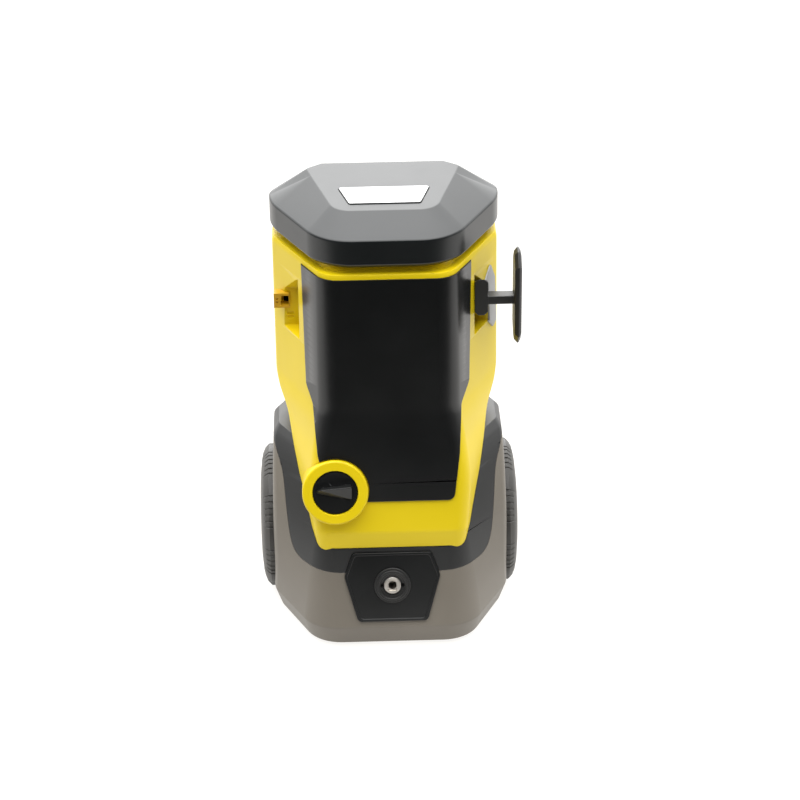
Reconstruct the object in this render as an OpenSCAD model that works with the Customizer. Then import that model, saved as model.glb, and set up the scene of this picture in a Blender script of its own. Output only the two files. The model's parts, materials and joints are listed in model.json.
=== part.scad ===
// Upright domestic pressure washer on two wheels, with a telescopic handle.
// Origin: middle of the footprint at floor level. +X is the machine's left-to-right
// as seen from the front, -Y is the front, +Z is up. Millimetres.

/* [Body] */
// Width of the upper body across its side corners
body_w = 256; // [240:1:310]
// Height of the lid's top over the floor
body_h = 512; // [500:1:620]
// Width of the lower body in front of the wheels
base_w = 274; // [262:1:330]
// Wall thickness of the moulded shells
wall = 3; // [2.5:0.1:3.6]
// Lean of the lower front face, from upright
front_lean = 15; // [12:0.5:17]

/* [Wheels] */
// Wheel diameter
wheel_d = 170; // [140:1:204]
// Width of the tread, without the domed outer face
tread_w = 32; // [28:1:34]
// Axle diameter
axle_d = 12; // [10:0.5:14.4]

/* [Handle] */
// Outer diameter of the two handle tubes
tube_d = 18; // [15:0.5:21.6]
// Distance between the middles of the handle tubes
tube_span = 110; // [104:1:116]
// How far the handle pulls out
handle_travel = 290; // [200:5:300]
// Travel of the release button in the grip
button_travel = 4; // [3:0.5:5]

/* [Controls and water] */
// Diameter of the rotary switch knob
knob_d = 51; // [42.5:0.5:61]
// Outer diameter of the collar round the knob
collar_d = 75; // [72:1:78]
// Diameter of the outlet socket's disc
outlet_d = 42; // [36:1:46]
// Bore of the high-pressure outlet
outlet_bore_d = 9.6; // [8:0.2:9.6]
// Outside diameter of the water inlet's thread (G 3/4)
inlet_thread_d = 26.4; // [24:0.1:28]
// Bore of the lance holders
lance_bore_d = 26; // [21.5:0.5:28]

/* [Hidden] */

$fn = 48;
eps = 0.01;
yellow = "#e6d21a";
grey = "#5b5a57";
black = "#1d1f20";
slate = "#4b5357";

// levels
base_z = 5;
crease_z = 31;
shoulder_z = 223;
lid_rim_z = body_h - 54;
lid_edge_z = body_h - 21;
lip_z = body_h - 62;
// plan places
crease_y = -157;
split_y = 60;
rear_y = 116;
base_rear_y = 124;
wheel_r = wheel_d / 2;
axle_y = 15;
tread_in_x = 109;
tread_out_x = tread_in_x + tread_w;
well_x = 104;
well_gap = 4;
tube_x = tube_span / 2;
tube_y = 135;

// ---------- plan rings and lofts ----------

function unit(v) = v / norm(v);

// Points of one rounded corner at p, between the edges to a and to b.
function corner(p, a, b, r, k) =
  let (
    u = unit(a - p),
    v = unit(b - p),
    half = acos(u * v) / 2,
    start = p + u * r / tan(half),
    stop = p + v * r / tan(half),
    c = p + unit(u + v) * r / sin(half),
    a0 = atan2(start.y - c.y, start.x - c.x),
    a1 = atan2(stop.y - c.y, stop.x - c.x),
    d = a1 - a0 > 180 ? a1 - a0 - 360 : (a1 - a0 < -180 ? a1 - a0 + 360 : a1 - a0)
  )
  [for (i = [0 : k]) c + r * [cos(a0 + d * i / k), sin(a0 + d * i / k)]];

// A closed outline with each corner rounded to its own radius.
function rounded(pts, radii, k = 4) =
  let (n = len(pts))
  [for (i = [0 : n - 1]) each corner(pts[i], pts[(i + n - 1) % n], pts[(i + 1) % n], radii[i], k)];

// Eight-cornered plan of the body: front flat, chamfers, side flats and back flat.
// s = [z, front x, front y, side x, side y front, side y back, back x, back y, front corner radius,
//      side corner radius]
function plan(s, t = 0) =
  let (
    xf = s[1] - 0.6 * t, yf = s[2] + t, xs = s[3] - t,
    y1 = s[4] + 0.25 * t, y2 = s[5] - 0.25 * t, xb = s[6] - 0.5 * t, yb = s[7] - t,
    rf = s[8] - 0.6 * t, rs = s[9]
  )
  rounded([[-xf, yf], [xf, yf], [xs, y1], [xs, y2], [xb, yb], [-xb, yb], [-xs, y2], [-xs, y1]],
          [rf, rf, rs, rs, rs, rs, rs, rs]);

function ring(s, t = 0) = [for (p = plan(s, t)) [p.x, p.y, s[0]]];

// Solid through a list of rings that all have the same number of points.
module loft(rings) {
  n = len(rings[0]);
  m = len(rings);
  sides = [
    for (i = [0 : m - 2]) for (j = [0 : n - 1])
      let (a = i * n + j, b = i * n + (j + 1) % n)
      each [[a, a + n, b + n], [a, b + n, b]]
  ];
  polyhedron(
    points = [for (r = rings) each r],
    faces = concat([[for (j = [0 : n - 1]) j]], sides, [[for (j = [n - 1 : -1 : 0]) (m - 1) * n + j]]),
    convexity = 6
  );
}

// Ring of k points round p, square to the direction d.
function wire_ring(p, d, r, k) =
  let (
    side = unit(cross(d, abs(d.z) > 0.9 ? [1, 0, 0] : [0, 0, 1])),
    up = unit(cross(side, d))
  )
  [for (i = [0 : k - 1]) p + r * (side * cos(-360 * i / k) + up * sin(-360 * i / k))];

// Round wire or tube along a path.
module tube_along(path, r, k = 8) {
  n = len(path) - 1;
  loft([for (i = [0 : n]) wire_ring(path[i], path[min(i + 1, n)] - path[max(i - 1, 0)], r, k)]);
}

// Coil spring standing on z = 0, ends included in its height h.
module coil_spring(r, wire, h, turns) {
  steps = 14 * turns;
  tube_along([for (i = [0 : steps])
    [r * cos(360 * turns * i / steps), r * sin(360 * turns * i / steps), wire / 2 + (h - wire) * i / steps]],
    wire / 2 * 0.96);
}

// y of the leaning lower front face at a height
function front_y(z) = crease_y + (z - crease_z) * tan(front_lean);

// Sections of the lower body, bottom to top.
half_base = base_w / 2;
function lower_sections() = [
  [base_z, 86, crease_y + 10, half_base - 7, -56, 66, 84, base_rear_y - 4, 44, 34],
  [crease_z, 90, crease_y, half_base, -65, 66, 84, base_rear_y, 46, 30],
  [wheel_r, 84, front_y(wheel_r), half_base - 1, -79, 66, 84, base_rear_y, 40, 22],
  [128, 79, front_y(128), half_base - 1, -73, 66, 84, base_rear_y, 34, 18],
  [162, 75, front_y(162) + 1, half_base - 1.5, -58, 62, 84, base_rear_y, 31, 18],
  [195, 72, front_y(195) + 3, half_base - 2.5, -34, 54, 84, base_rear_y, 30, 18],
  [shoulder_z - 9, 72, -107, half_base - 4, -16, 40, 84, base_rear_y, 30, 18],
  [shoulder_z, 71, -105, half_base - 10, -10, 32, 82, base_rear_y - 2, 30, 18]
];

// Sections of the upper body, bottom to top, with the groove under the lid.
half_body = body_w / 2;
function upper_sections() = [
  [113.5, 76, -126, 88, -100, 50, 60, rear_y, 12, 18],
  [120.5, 82, -131.5, 93, -96, 50, 60, rear_y, 14, 18],
  [144, 85, -134, 97, -90, 50, 60, rear_y, 15, 18],
  [190, 88, -126, 104, -72, 52, 64, rear_y, 17, 18],
  [218, 86, -121, 110, -50, 53, 66, rear_y, 19, 18],
  [246, 82, -116, half_body - 12, -20, 54, 68, rear_y, 22, 18],
  [268, 77, -112.5, half_body - 3.5, -3, 55, 70, rear_y, 25, 18],
  [286, 72, -110, half_body, 5, 56, 70, rear_y, 26, 18],
  [lip_z - 5, 70, -95.5, half_body, 15, 56, 70, rear_y, 28, 18],
  [lip_z, 70, -93.5, half_body - 2, 15, 55, 69, rear_y - 2, 28, 18]
];

// The same sections with their first and last levels moved in by the wall.
function levels_in(s, low, high) =
  let (n = len(s) - 1)
  [for (i = [0 : n]) concat([s[i][0] + (i == 0 ? low : (i == n ? -high : 0))], [for (c = [1 : 9]) s[i][c]])];

module lower_form(t = 0) {
  loft([for (s = levels_in(lower_sections(), t, t)) ring(s, t)]);
}

module upper_form(t = 0) {
  loft([for (s = levels_in(upper_sections(), -max(t, 0), max(t, 0))) ring(s, t)]);
}

// Neck that the lid's skirt drops over.
neck_in = 9;
module neck_form(t = 0) {
  s = upper_sections()[9];
  loft([ring(concat([lip_z - (t > 0 ? 8 : 0)], [for (i = [1 : 9]) s[i]]), neck_in + t),
        ring(concat([lid_rim_z + 10 + (t > 0 ? 1 : 0)], [for (i = [1 : 9]) s[i]]), neck_in + t)]);
}

// ---------- outlines seen from the front (x, z) ----------

module mirrored_x() {
  children();
  mirror([1, 0, 0]) children();
}

// Prism along Y from an outline in the XZ plane.
module from_front(y0 = -300, y1 = 0) {
  translate([0, y1, 0]) rotate([90, 0, 0]) linear_extrude(y1 - y0) children();
}

// The yellow tongue that shows between the shoulders.
function tongue_outline(g = 0) =
  let (half = [[0, 123], [62, 123], [75 + g, 125.5 - g], [83.5 + g, 133], [89.5 + g, 155], [95 + g, 186],
               [99.5 + g, 207], [102.5 + g, 215], [113 + g, 229], [130 + g, 250]])
  concat([for (p = half) p], [for (i = [len(half) - 1 : -1 : 0]) [-half[i].x, half[i].y]]);

// Edge between the grey base and the black shoulder frame.
function grey_outline() =
  let (half = [[0, 95], [60, 95], [98, 99], [107, 102], [113, 109], [117, 124], [120, 150], [123.5, 183],
               [130, 200], [half_base - 2, 210], [half_base + 9, 220]])
  concat([[-half_base - 20, -20], [half_base + 20, -20], [half_base + 20, 220]],
         [for (i = [len(half) - 1 : -1 : 0]) half[i]],
         [for (p = half) [-p.x, p.y]], [[-half_base - 20, 220]]);

// The dark panel on the front of the housing.
panel_top_z = lip_z - 5;
function panel_outline() =
  [[-70, 182], [72, 182], [79, 236], [82, 288], [92, 305], [95, panel_top_z + 1], [-95, panel_top_z + 1],
   [-93, 305], [-86, 288], [-82, 236]];

// ---------- shells ----------

module well_cylinder(r, x0, x1) {
  translate([x0, axle_y, wheel_r]) rotate([0, 90, 0]) cylinder(r = r, h = x1 - x0, $fn = 96);
}

module lower_shell() {
  difference() {
    union() {
      difference() {
        lower_form();
        lower_form(wall);
      }
      intersection() {
        lower_form();
        mirrored_x() well_cylinder(wheel_r + well_gap + wall, well_x - wall, base_w);
      }
    }
    mirrored_x() well_cylinder(wheel_r + well_gap, well_x, base_w);
  }
}

module base_shell() {
  color(grey) difference() {
    intersection() {
      lower_shell();
      from_front(-300, 300) polygon(grey_outline());
    }
    bezel_blank();
    outlet_well();
    well_cylinder(axle_d / 2, -base_w, base_w);
    rear_ports_cut();
    for (s = foot_places) translate([s.x, s.y, 0]) cylinder(d = foot_stem_d, h = 20);
  }
}

module shoulder_frame() {
  color(black) difference() {
    lower_shell();
    from_front(-300, 300) polygon(grey_outline());
    from_front(-300, -20) polygon(tongue_outline(0.3));
    upper_form();
    bezel_blank();
    outlet_well();
    collar_blank();
    rear_ports_cut();
  }
}

// Recess in each front chamfer, where an accessory plugs in.
recess_z = lip_z - 74.5;
recess_h = 47;
recess_x = half_body - 29;
recess_y = -14;
recess_run = 40;
roof_rise = 34;
floor_drop = 2;
module side_recess(g = 0) {
  points = [
    [recess_y - recess_run, recess_z + recess_h / 2 + roof_rise + g], [recess_y + g, recess_z + recess_h / 2 + g],
    [recess_y + g, recess_z - recess_h / 2 - g], [recess_y - recess_run, recess_z - recess_h / 2 - floor_drop - g]
  ];
  mirrored_x() translate([recess_x - g, 0, 0]) rotate([90, 0, 90]) linear_extrude(60) polygon(points);
}

module housing_shell() {
  difference() {
    union() {
      difference() {
        upper_form();
        side_recess();
      }
      neck_form();
    }
    difference() {
      upper_form(wall);
      side_recess(wall);
    }
    neck_form(wall);
  }
}

boss_x = half_body - 10;
boss_levels = [215, 320, lip_z - 30];
module screw_places() {
  for (z = boss_levels)
    mirrored_x() translate([(z < shoulder_z ? boss_x - 15 : boss_x), split_y, z]) rotate([-90, 0, 0]) children();
}

skirt_z = 192;
module front_housing() {
  color(yellow) difference() {
    union() {
      intersection() {
        housing_shell();
        translate([-300, -300, 0]) cube([600, 300 + split_y, 700]);
      }
      intersection() {
        upper_form();
        screw_places() translate([0, 0, -22]) cylinder(r = 6, h = 22);
      }
    }
    translate([-300, -58, 0]) cube([600, 300, skirt_z]);
    screw_places() translate([0, 0, -20]) cylinder(r = screw_r, h = 30);
    collar_blank();
    bezel_blank();
    catch_place() translate([-catch_w / 2, -40, -catch_w / 2]) cube([catch_w, 48, catch_w]);
  }
}

screw_r = 2;
module rear_housing() {
  color(black) difference() {
    union() {
      intersection() {
        housing_shell();
        translate([-300, split_y, skirt_z]) cube([600, 300, 700]);
      }
      intersection() {
        upper_form();
        screw_places() cylinder(r = 6, h = 12);
      }
    }
    screw_places() translate([0, 0, -eps]) cylinder(r = screw_r, h = 30);
    screw_places() translate([0, 0, 6]) cylinder(r = 3.8, h = 30);
    guide_screw_places() translate([0, 0, -30]) cylinder(r = screw_r, h = 40);
  }
}

module housing_screws() {
  color("silver") screw_places() {
    translate([0, 0, -18]) cylinder(r = screw_r, h = 24);
    translate([0, 0, 6]) cylinder(r = 3.6, h = 2.4);
  }
}

panel_t = 2;
module front_panel() {
  color(black) difference() {
    intersection() {
      upper_form(-panel_t);
      from_front(-300, -20) offset(r = 6) offset(delta = -6) polygon(panel_outline());
    }
    upper_form();
    collar_blank(1);
    translate([-300, -300, panel_top_z]) cube([600, 600, 300]);
  }
}

// Lid: rim, sloping facets and a tilted top facet.
top_slope = 0.045;
lid_steps = 6;
function lid_section(z, g, t = 0) =
  let (
    xf = 72 + 0.6 * (g - t), yf = -95 - g + t, xs = half_body + 2 + g - t,
    xb = 71 + 0.5 * (g - t), yb = 119 + g - t, r = 58 - 0.6 * t
  )
  [for (p = rounded([[-xf, yf], [xf, yf], [xs, 20], [xs, 48], [xb, yb], [-xb, yb], [-xs, 48], [-xs, 20]],
                    [r, r, 80, 18, 18, 18, 18, 80], lid_steps)) [p.x, p.y, z]];
function lid_top_ring(t = 0) =
  [for (p = rounded([[-56, -46], [56, -46], [82, 46], [87, 66], [70, 78], [-70, 78], [-87, 66], [-82, 46]],
                    [24, 24, 14, 5, 5, 5, 5, 14], lid_steps)) [p.x, p.y, body_h - 6 + top_slope * (p.y + 46) - t]];

module lid_form(t = 0) {
  z0 = t > 0 ? lid_rim_z - 1 : lid_rim_z;
  loft([lid_section(z0, -4, t), lid_section(lid_rim_z + 4, 0, t),
        lid_section(lid_edge_z - 2 - t, 0, t), lid_section(lid_edge_z - t, -2, t), lid_top_ring(t)]);
}

module top_lid() {
  color(slate) difference() {
    lid_form();
    difference() {
      lid_form(wall);
      translate([-300, -300, lid_rim_z - 5]) cube([600, 600, 9]);
    }
    neck_form();
    nameplate_solid();
  }
}

// Blank badge let into the lid's top facet.
plate_back = [52, 12];
plate_front = [40, -30];
module nameplate_solid() {
  outline = [[-plate_front.x, plate_front.y], [plate_front.x, plate_front.y],
             [plate_back.x, plate_back.y], [-plate_back.x, plate_back.y]];
  translate([0, -46, body_h - 6]) rotate([atan(top_slope), 0, 0])
    translate([0, 46, -1.2]) linear_extrude(2.2) polygon(outline);
}

module nameplate() {
  color("gainsboro") nameplate_solid();
}

// ---------- switch ----------

knob_x = -63;
knob_z = 198;
knob_y = -135;
collar_depth = 30;

// Frame on the leaning switch axis: +Z points out of the machine.
module switch_axis() {
  translate([knob_x, knob_y, knob_z]) rotate([90 - front_lean, 0, 0]) children();
}

module collar_blank(g = 0) {
  switch_axis() {
    translate([0, 0, -collar_depth]) cylinder(d = collar_d + 2 * g, h = collar_depth + 20, $fn = 96);
    intersection() {
      translate([0, 0, -60]) cylinder(d = collar_d + 2 * g, h = 60, $fn = 96);
      translate([-collar_d, -collar_d, -70]) cube([collar_d - 20, 2 * collar_d, 80]);
    }
  }
}

knob_fit = 0.4;
module switch_collar() {
  color(yellow) switch_axis() difference() {
    union() {
      translate([0, 0, -collar_depth]) cylinder(d = collar_d, h = collar_depth - 3, $fn = 96);
      translate([0, 0, -3]) cylinder(d1 = collar_d, d2 = collar_d - 6, h = 3, $fn = 96);
      intersection() {
        translate([0, 0, -60]) cylinder(d = collar_d, h = 57, $fn = 96);
        translate([-collar_d, -collar_d, -70]) cube([collar_d - 20, 2 * collar_d, 67]);
      }
    }
    translate([0, 0, -14]) cylinder(d = knob_d + 2 * knob_fit, h = 20, $fn = 96);
    translate([0, 0, -collar_depth - 1]) cylinder(d = spindle_d + 0.1, h = 40);
    difference() {
      translate([0, 0, -70]) cylinder(d = collar_d - 2 * wall, h = 52);
      translate([-14, -14, -30]) cube([28, 28, 14]);
    }
  }
}

spindle_d = 8;
grip_h = 9;
module switch_knob() {
  color(black) switch_axis() difference() {
    union() {
      translate([0, 0, -13]) cylinder(d = knob_d, h = 10, $fn = 96);
      translate([0, 0, -3]) hull() {
        translate([-knob_d * 0.38, 1, 0]) cylinder(d = 3, h = 2, $fn = 24);
        translate([knob_d * 0.32, 6, 0]) cylinder(d = 2, h = grip_h, $fn = 24);
        translate([knob_d * 0.32, -7, 0]) cylinder(d = 2, h = 2, $fn = 24);
        translate([-knob_d * 0.28, 3, 0]) cylinder(d = 2, h = grip_h - 3, $fn = 24);
      }
    }
    translate([0, 0, -14]) cylinder(d = spindle_d, h = 7);
  }
}

module switch_spindle() {
  color("silver") switch_axis() translate([0, 0, -34]) cylinder(d = spindle_d, h = 27);
}

module switch_box() {
  color("darkslategray") switch_axis() difference() {
    translate([-18, -16, -52]) cube([36, 32, 52 - collar_depth]);
    translate([0, 0, -35]) cylinder(d = spindle_d + 0.1, h = 10);
  }
}

// ---------- outlet ----------

outlet_z = 80;
module outlet_axis(z = outlet_z) {
  translate([0, front_y(z), z]) rotate([90 - front_lean, 0, 0]) children();
}

bezel_t = 5;
bezel_proud = 2.5;
module bezel_outline() {
  top = 39;
  mid = 11;
  low = -43;
  polygon(rounded([[-40, low], [40, low], [55, mid], [45, top], [-45, top], [-55, mid]], [6, 6, 9, 5, 5, 9]));
}

module bezel_blank() {
  outlet_axis() translate([0, 0, bezel_proud - bezel_t]) linear_extrude(bezel_t) bezel_outline();
}

module outlet_bezel() {
  color(black) outlet_axis() difference() {
    translate([0, 0, bezel_proud - bezel_t]) linear_extrude(bezel_t) bezel_outline();
    translate([0, 0, -10]) cylinder(d = outlet_d, h = 20, $fn = 96);
  }
}

nipple_d = 19.6;
// Hole through the shells that the outlet's socket sits in.
module outlet_well() {
  outlet_axis() translate([0, 0, -18]) cylinder(d = outlet_d, h = 24, $fn = 96);
}

module outlet_socket() {
  color("dimgray") outlet_axis() difference() {
    union() {
      translate([0, 0, -9]) cylinder(d = outlet_d, h = 12.5, $fn = 96);
      translate([0, 0, 3.5]) cylinder(d = outlet_d - 7, h = 1.6, $fn = 96);
    }
    translate([0, 0, 1]) cylinder(d = outlet_d - 13, h = 10, $fn = 96);
    translate([0, 0, -10]) cylinder(d = nipple_d, h = 20, $fn = 96);
    for (a = [0, 180]) rotate([0, 0, a]) translate([nipple_d / 2 - 1, -2.5, -3]) cube([5, 5, 10]);
  }
}

nipple_back = 26;
module outlet_nipple() {
  color("silver") outlet_axis() difference() {
    union() {
      translate([0, 0, -nipple_back]) cylinder(d = nipple_d, h = nipple_back + 3, $fn = 96);
      translate([0, 0, -nipple_back]) cylinder(d = nipple_d + 6, h = 8, $fn = 6);
    }
    translate([0, 0, -nipple_back - 1]) cylinder(d = outlet_bore_d, h = 60);
    translate([0, 0, 0.5]) linear_extrude(5) square([9.8, 13], center = true);
  }
}

// ---------- accessory hook and catch ----------

hook_z = recess_z + 15.5;
hook_y = -35;
stem_h = 10;
stem_d = 17;
plate_x0 = half_body + 16;
plate_t = 8;
module octagon(w, h, c) {
  polygon([[-w / 2, -h / 2 + c], [-w / 2 + c, -h / 2], [w / 2 - c, -h / 2], [w / 2, -h / 2 + c],
           [w / 2, h / 2 - c], [w / 2 - c, h / 2], [-w / 2 + c, h / 2], [-w / 2, h / 2 - c]]);
}

hook_block_w = 15;
// Plug of the hook: its top follows the roof of the recess it fills.
module hook_block() {
  block_y = hook_y - 10;
  x0 = recess_x + 0.3;
  intersection() {
    translate([x0 + hook_block_w / 2, recess_y, hook_z + 4.5]) rotate([90, 0, 0])
      linear_extrude(recess_y - block_y) octagon(hook_block_w, 45, 4);
    translate([x0, 0, hook_z]) rotate([90, 0, 90]) linear_extrude(hook_block_w)
      polygon([[recess_y, -18], [recess_y, 7], [block_y, 27], [block_y, -18]]);
  }
}

module accessory_hook() {
  color(black) {
    hook_block();
    translate([recess_x + hook_block_w - 1, hook_y - 9, hook_z - stem_h / 2])
      cube([plate_x0 - recess_x - hook_block_w + 2, stem_d - 2, stem_h]);
    translate([plate_x0, hook_y, hook_z + 2]) rotate([90, 0, 90]) {
      linear_extrude(plate_t - 2) octagon(44, 114, 14);
      translate([0, 0, plate_t - 2]) linear_extrude(2) octagon(40, 110, 13);
    }
  }
}

// Slim pad that spreads the hook's load over the housing's side.
module hook_pad() {
  color("gray") intersection() {
    difference() {
      upper_form(-2);
      upper_form();
      side_recess(0);
    }
    translate([recess_x, 0, hook_z]) rotate([90, 0, 90]) linear_extrude(60)
      polygon([[-24, -31], [-24, 10], [-6, 27], [3, 8], [3, -47], [-6, -51]]);
  }
}

// The same socket on the other side stands empty, with its catch plate showing.
catch_w = 18;
module catch_place() {
  translate([-recess_x - 19.5, recess_y, recess_z + 9]) children();
}

module accessory_catch() {
  color("darkorange") catch_place() difference() {
    translate([-catch_w / 2, -4, -catch_w / 2]) cube([catch_w, 12, catch_w]);
    translate([-1, -20, -6]) cube([9, 40, 12]);
  }
}

// ---------- back of the machine ----------

guide_w = 28;
guide_top_z = body_h - 86;
module guide_screw_places() {
  for (z = [shoulder_z + 24, guide_top_z - 24])
    for (s = [-1, 1]) translate([s * (tube_x - guide_w / 2 - 6), rear_y, z]) rotate([-90, 0, 0]) children();
}

module handle_guides() {
  color(black) difference() {
    union() {
      for (s = [-1, 1]) translate([s * tube_x - guide_w / 2, rear_y, shoulder_z + 4])
        cube([guide_w, tube_y - rear_y + 11, guide_top_z - shoulder_z - 4]);
      for (z = [shoulder_z + 24, guide_top_z - 24])
        for (s = [-1, 1]) translate([s * (tube_x - guide_w / 2 - 5) - 7, rear_y, z - 8]) cube([14, 4, 16]);
    }
    tube_bores();
    guide_screw_places() translate([0, 0, -1]) cylinder(r = screw_r, h = 10);
  }
}

tube_fit = 0.3;
module tube_bores() {
  for (s = [-1, 1]) translate([s * tube_x, tube_y, 0]) cylinder(d = tube_d + 2 * tube_fit, h = body_h);
}

tube_hold = 64;
tube_low_z = guide_top_z - tube_hold - handle_travel;
bracket_z = tube_low_z + 4;
module tube_brackets() {
  color(black) difference() {
    for (s = [-1, 1]) translate([s * tube_x - guide_w / 2, base_rear_y, bracket_z])
      cube([guide_w, tube_y - base_rear_y + 11, 30]);
    tube_bores();
  }
}

module bracket_screws() {
  color("silver") guide_screw_places() {
    translate([0, 0, -12]) cylinder(r = screw_r, h = 16);
    translate([0, 0, 4]) cylinder(r = 3.6, h = 2.4);
  }
}

lance_x = 88;
lance_y = 141.6;
lance_z = 40;
lance_h = 26;
module lance_holders() {
  color(black) mirrored_x() difference() {
    union() {
      translate([lance_x, lance_y, lance_z]) cylinder(d = 32, h = lance_h);
      translate([lance_x - 10, base_rear_y - 14, lance_z]) cube([16, 24, lance_h]);
    }
    translate([lance_x, lance_y, lance_z - 1]) cylinder(d = lance_bore_d, h = lance_h + 2, $fn = 64);
    lower_form();
  }
}

inlet = [24, 62];
port = [-24, 62];
gland = [0, 104];
module at_rear(place, y = base_rear_y) {
  translate([place.x, y, place.y]) rotate([-90, 0, 0]) children();
}

module rear_ports_cut() {
  at_rear(inlet) translate([0, 0, -10]) cylinder(r = 11, h = 20);
  at_rear(port) translate([0, 0, -10]) cylinder(r = 7, h = 20);
  at_rear(gland) translate([0, 0, -10]) cylinder(r = 8, h = 20);
}

module water_inlet() {
  color(black) at_rear(inlet) difference() {
    union() {
      translate([0, 0, -14]) cylinder(r = 11, h = 14);
      cylinder(r = 17, h = 5);
      cylinder(d = inlet_thread_d, h = 22);
    }
    translate([0, 0, -15]) cylinder(r = 7, h = 18);
    translate([0, 0, 3]) cylinder(r = 9.5, h = 30);
  }
}

module inlet_strainer() {
  color("silver") at_rear(inlet) difference() {
    translate([0, 0, 3]) cylinder(r = 9.5, h = 9);
    translate([0, 0, 4.5]) cylinder(r = 8, h = 10);
    for (x = [-4.5 : 3 : 4.5]) for (y = [-4.5 : 3 : 4.5])
      translate([x - 1, y - 1, 0]) cube([2, 2, 10]);
  }
}

module detergent_port() {
  color("dimgray") at_rear(port) difference() {
    union() {
      translate([0, 0, -14]) cylinder(r = 7, h = 14);
      cylinder(r = 11, h = 4);
      cylinder(r = 6.5, h = 16);
    }
    translate([0, 0, -15]) cylinder(r = 4, h = 40);
  }
}

module cable_gland() {
  color(black) at_rear(gland) difference() {
    union() {
      translate([0, 0, -10]) cylinder(r = 8, h = 10);
      cylinder(r = 12, h = 4);
      translate([0, 0, 4]) cylinder(r1 = 9, r2 = 6.5, h = 14);
    }
    translate([0, 0, -11]) cylinder(r = 4.2, h = 40);
  }
}

foot_places = [[-62, -122], [62, -122]];
foot_stem_d = 10;
module front_feet() {
  color("black") for (s = foot_places) translate([s.x, s.y, 0]) {
    cylinder(d1 = 26, d2 = 28, h = base_z);
    cylinder(d = foot_stem_d, h = base_z + wall + 1);
  }
}

// ---------- wheels ----------

module axle_line() {
  translate([0, axle_y, wheel_r]) rotate([0, 90, 0]) children();
}

hub_len = 20;
clip_x = tread_in_x + hub_len - 4;
module wheel_axle() {
  color("silver") axle_line() translate([0, 0, -clip_x - 5]) cylinder(d = axle_d, h = 2 * clip_x + 10);
}

module axle_clips() {
  color("silver") mirrored_x() axle_line() translate([0, 0, clip_x + 0.5]) difference() {
    cylinder(d = axle_d + 8, h = 2);
    translate([0, 0, -1]) cylinder(d = axle_d, h = 4);
  }
}

axle_fit = 0.1;
tyre_in_r = wheel_r - 19;
// The wheel's moulded centre: hub, web and rim.
module wheel_centre() {
  r = axle_d / 2 + axle_fit;
  axle_line() rotate_extrude($fn = 96) {
    translate([r, well_x + 0.6]) square([7, clip_x - well_x - 0.6]);
    translate([r + 6, tread_in_x + 8]) square([tyre_in_r - r - 8, 5]);
    translate([tyre_in_r - 5, tread_in_x]) square([5, tread_w + 4]);
  }
}

dome = 11.5;
module tyre_ring() {
  axle_line() difference() {
    rotate_extrude($fn = 96) polygon([
      [tyre_in_r, tread_in_x], [wheel_r - 4, tread_in_x], [wheel_r, tread_in_x + 4], [wheel_r, tread_out_x],
      [wheel_r - 5.4, tread_out_x + dome * 0.44], [wheel_r - 15, tread_out_x + dome * 0.72],
      [tyre_in_r, tread_out_x + dome * 0.78]
    ]);
    for (a = [0 : 15 : 345]) rotate([0, 0, a])
      translate([wheel_r - 2, -2, tread_in_x - 1]) cube([6, 4, tread_w - 6]);
  }
}

module hub_cap_solid() {
  r = tyre_in_r;
  base = tread_out_x + dome * 0.4;
  axle_line() rotate_extrude($fn = 96) difference() {
    union() {
      polygon([[0, base], [r, base], [r, tread_out_x + dome * 0.79], [wheel_r * 0.6, tread_out_x + dome * 0.93],
               [wheel_r * 0.3, tread_out_x + dome * 0.985], [0, tread_out_x + dome]]);
      translate([tyre_in_r - 8, base - 6]) square([3, 7]);
    }
    translate([0, base - 1]) square([r - 8, dome * 0.35 + 1]);
  }
}

module left_wheel() { color(grey) mirror([1, 0, 0]) wheel_centre(); }
module left_tyre() { color(grey) mirror([1, 0, 0]) tyre_ring(); }
module left_hub_cap() { color(grey) mirror([1, 0, 0]) hub_cap_solid(); }
module right_wheel() { color(grey) wheel_centre(); }
module right_tyre() { color(grey) tyre_ring(); }
module right_hub_cap() { color(grey) hub_cap_solid(); }

// ---------- telescopic handle ----------

grip_leg_z = guide_top_z;
grip_top_z = guide_top_z + 50;
module handle_tubes() {
  color("gray") for (s = [-1, 1]) translate([s * tube_x, tube_y, tube_low_z]) difference() {
    cylinder(d = tube_d, h = grip_top_z - 22 - tube_low_z);
    translate([0, 0, -1]) cylinder(d = tube_d - 3, h = body_h);
  }
}

button_w = 34;
button_d = 12;
button_floor_z = grip_top_z - 13;
button_gap = 4 + button_travel;
module handle_grip() {
  color(black) difference() {
    union() {
      for (s = [-1, 1]) translate([s * tube_x, tube_y, grip_leg_z]) cylinder(d = tube_d + 8, h = 34);
      translate([0, tube_y, grip_top_z - 11]) rotate([0, 90, 0]) hull() {
        translate([0, 0, -tube_x - 13]) cylinder(d = 18, h = 2 * tube_x + 26, $fn = 32);
        translate([0, 0, -tube_x - 9]) cylinder(d = 22, h = 2 * tube_x + 18, $fn = 32);
      }
    }
    for (s = [-1, 1])
      translate([s * tube_x, tube_y, grip_leg_z - 1]) cylinder(d = tube_d, h = grip_top_z - 21 - grip_leg_z);
    translate([-button_w / 2 - 0.3, tube_y - button_d / 2 - 0.3, button_floor_z])
      cube([button_w + 0.6, button_d + 0.6, 20]);
  }
}

module release_button() {
  color("gray") translate([-button_w / 2, tube_y - button_d / 2, button_floor_z + button_gap]) {
    cube([button_w, button_d, 7]);
    translate([2, 2, 7]) cube([button_w - 4, button_d - 4, 1]);
  }
}

module button_spring() {
  color("silver") translate([0, tube_y, button_floor_z]) coil_spring(4, 0.9, button_gap, 4);
}

// ---------- motor and pump ----------

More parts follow.
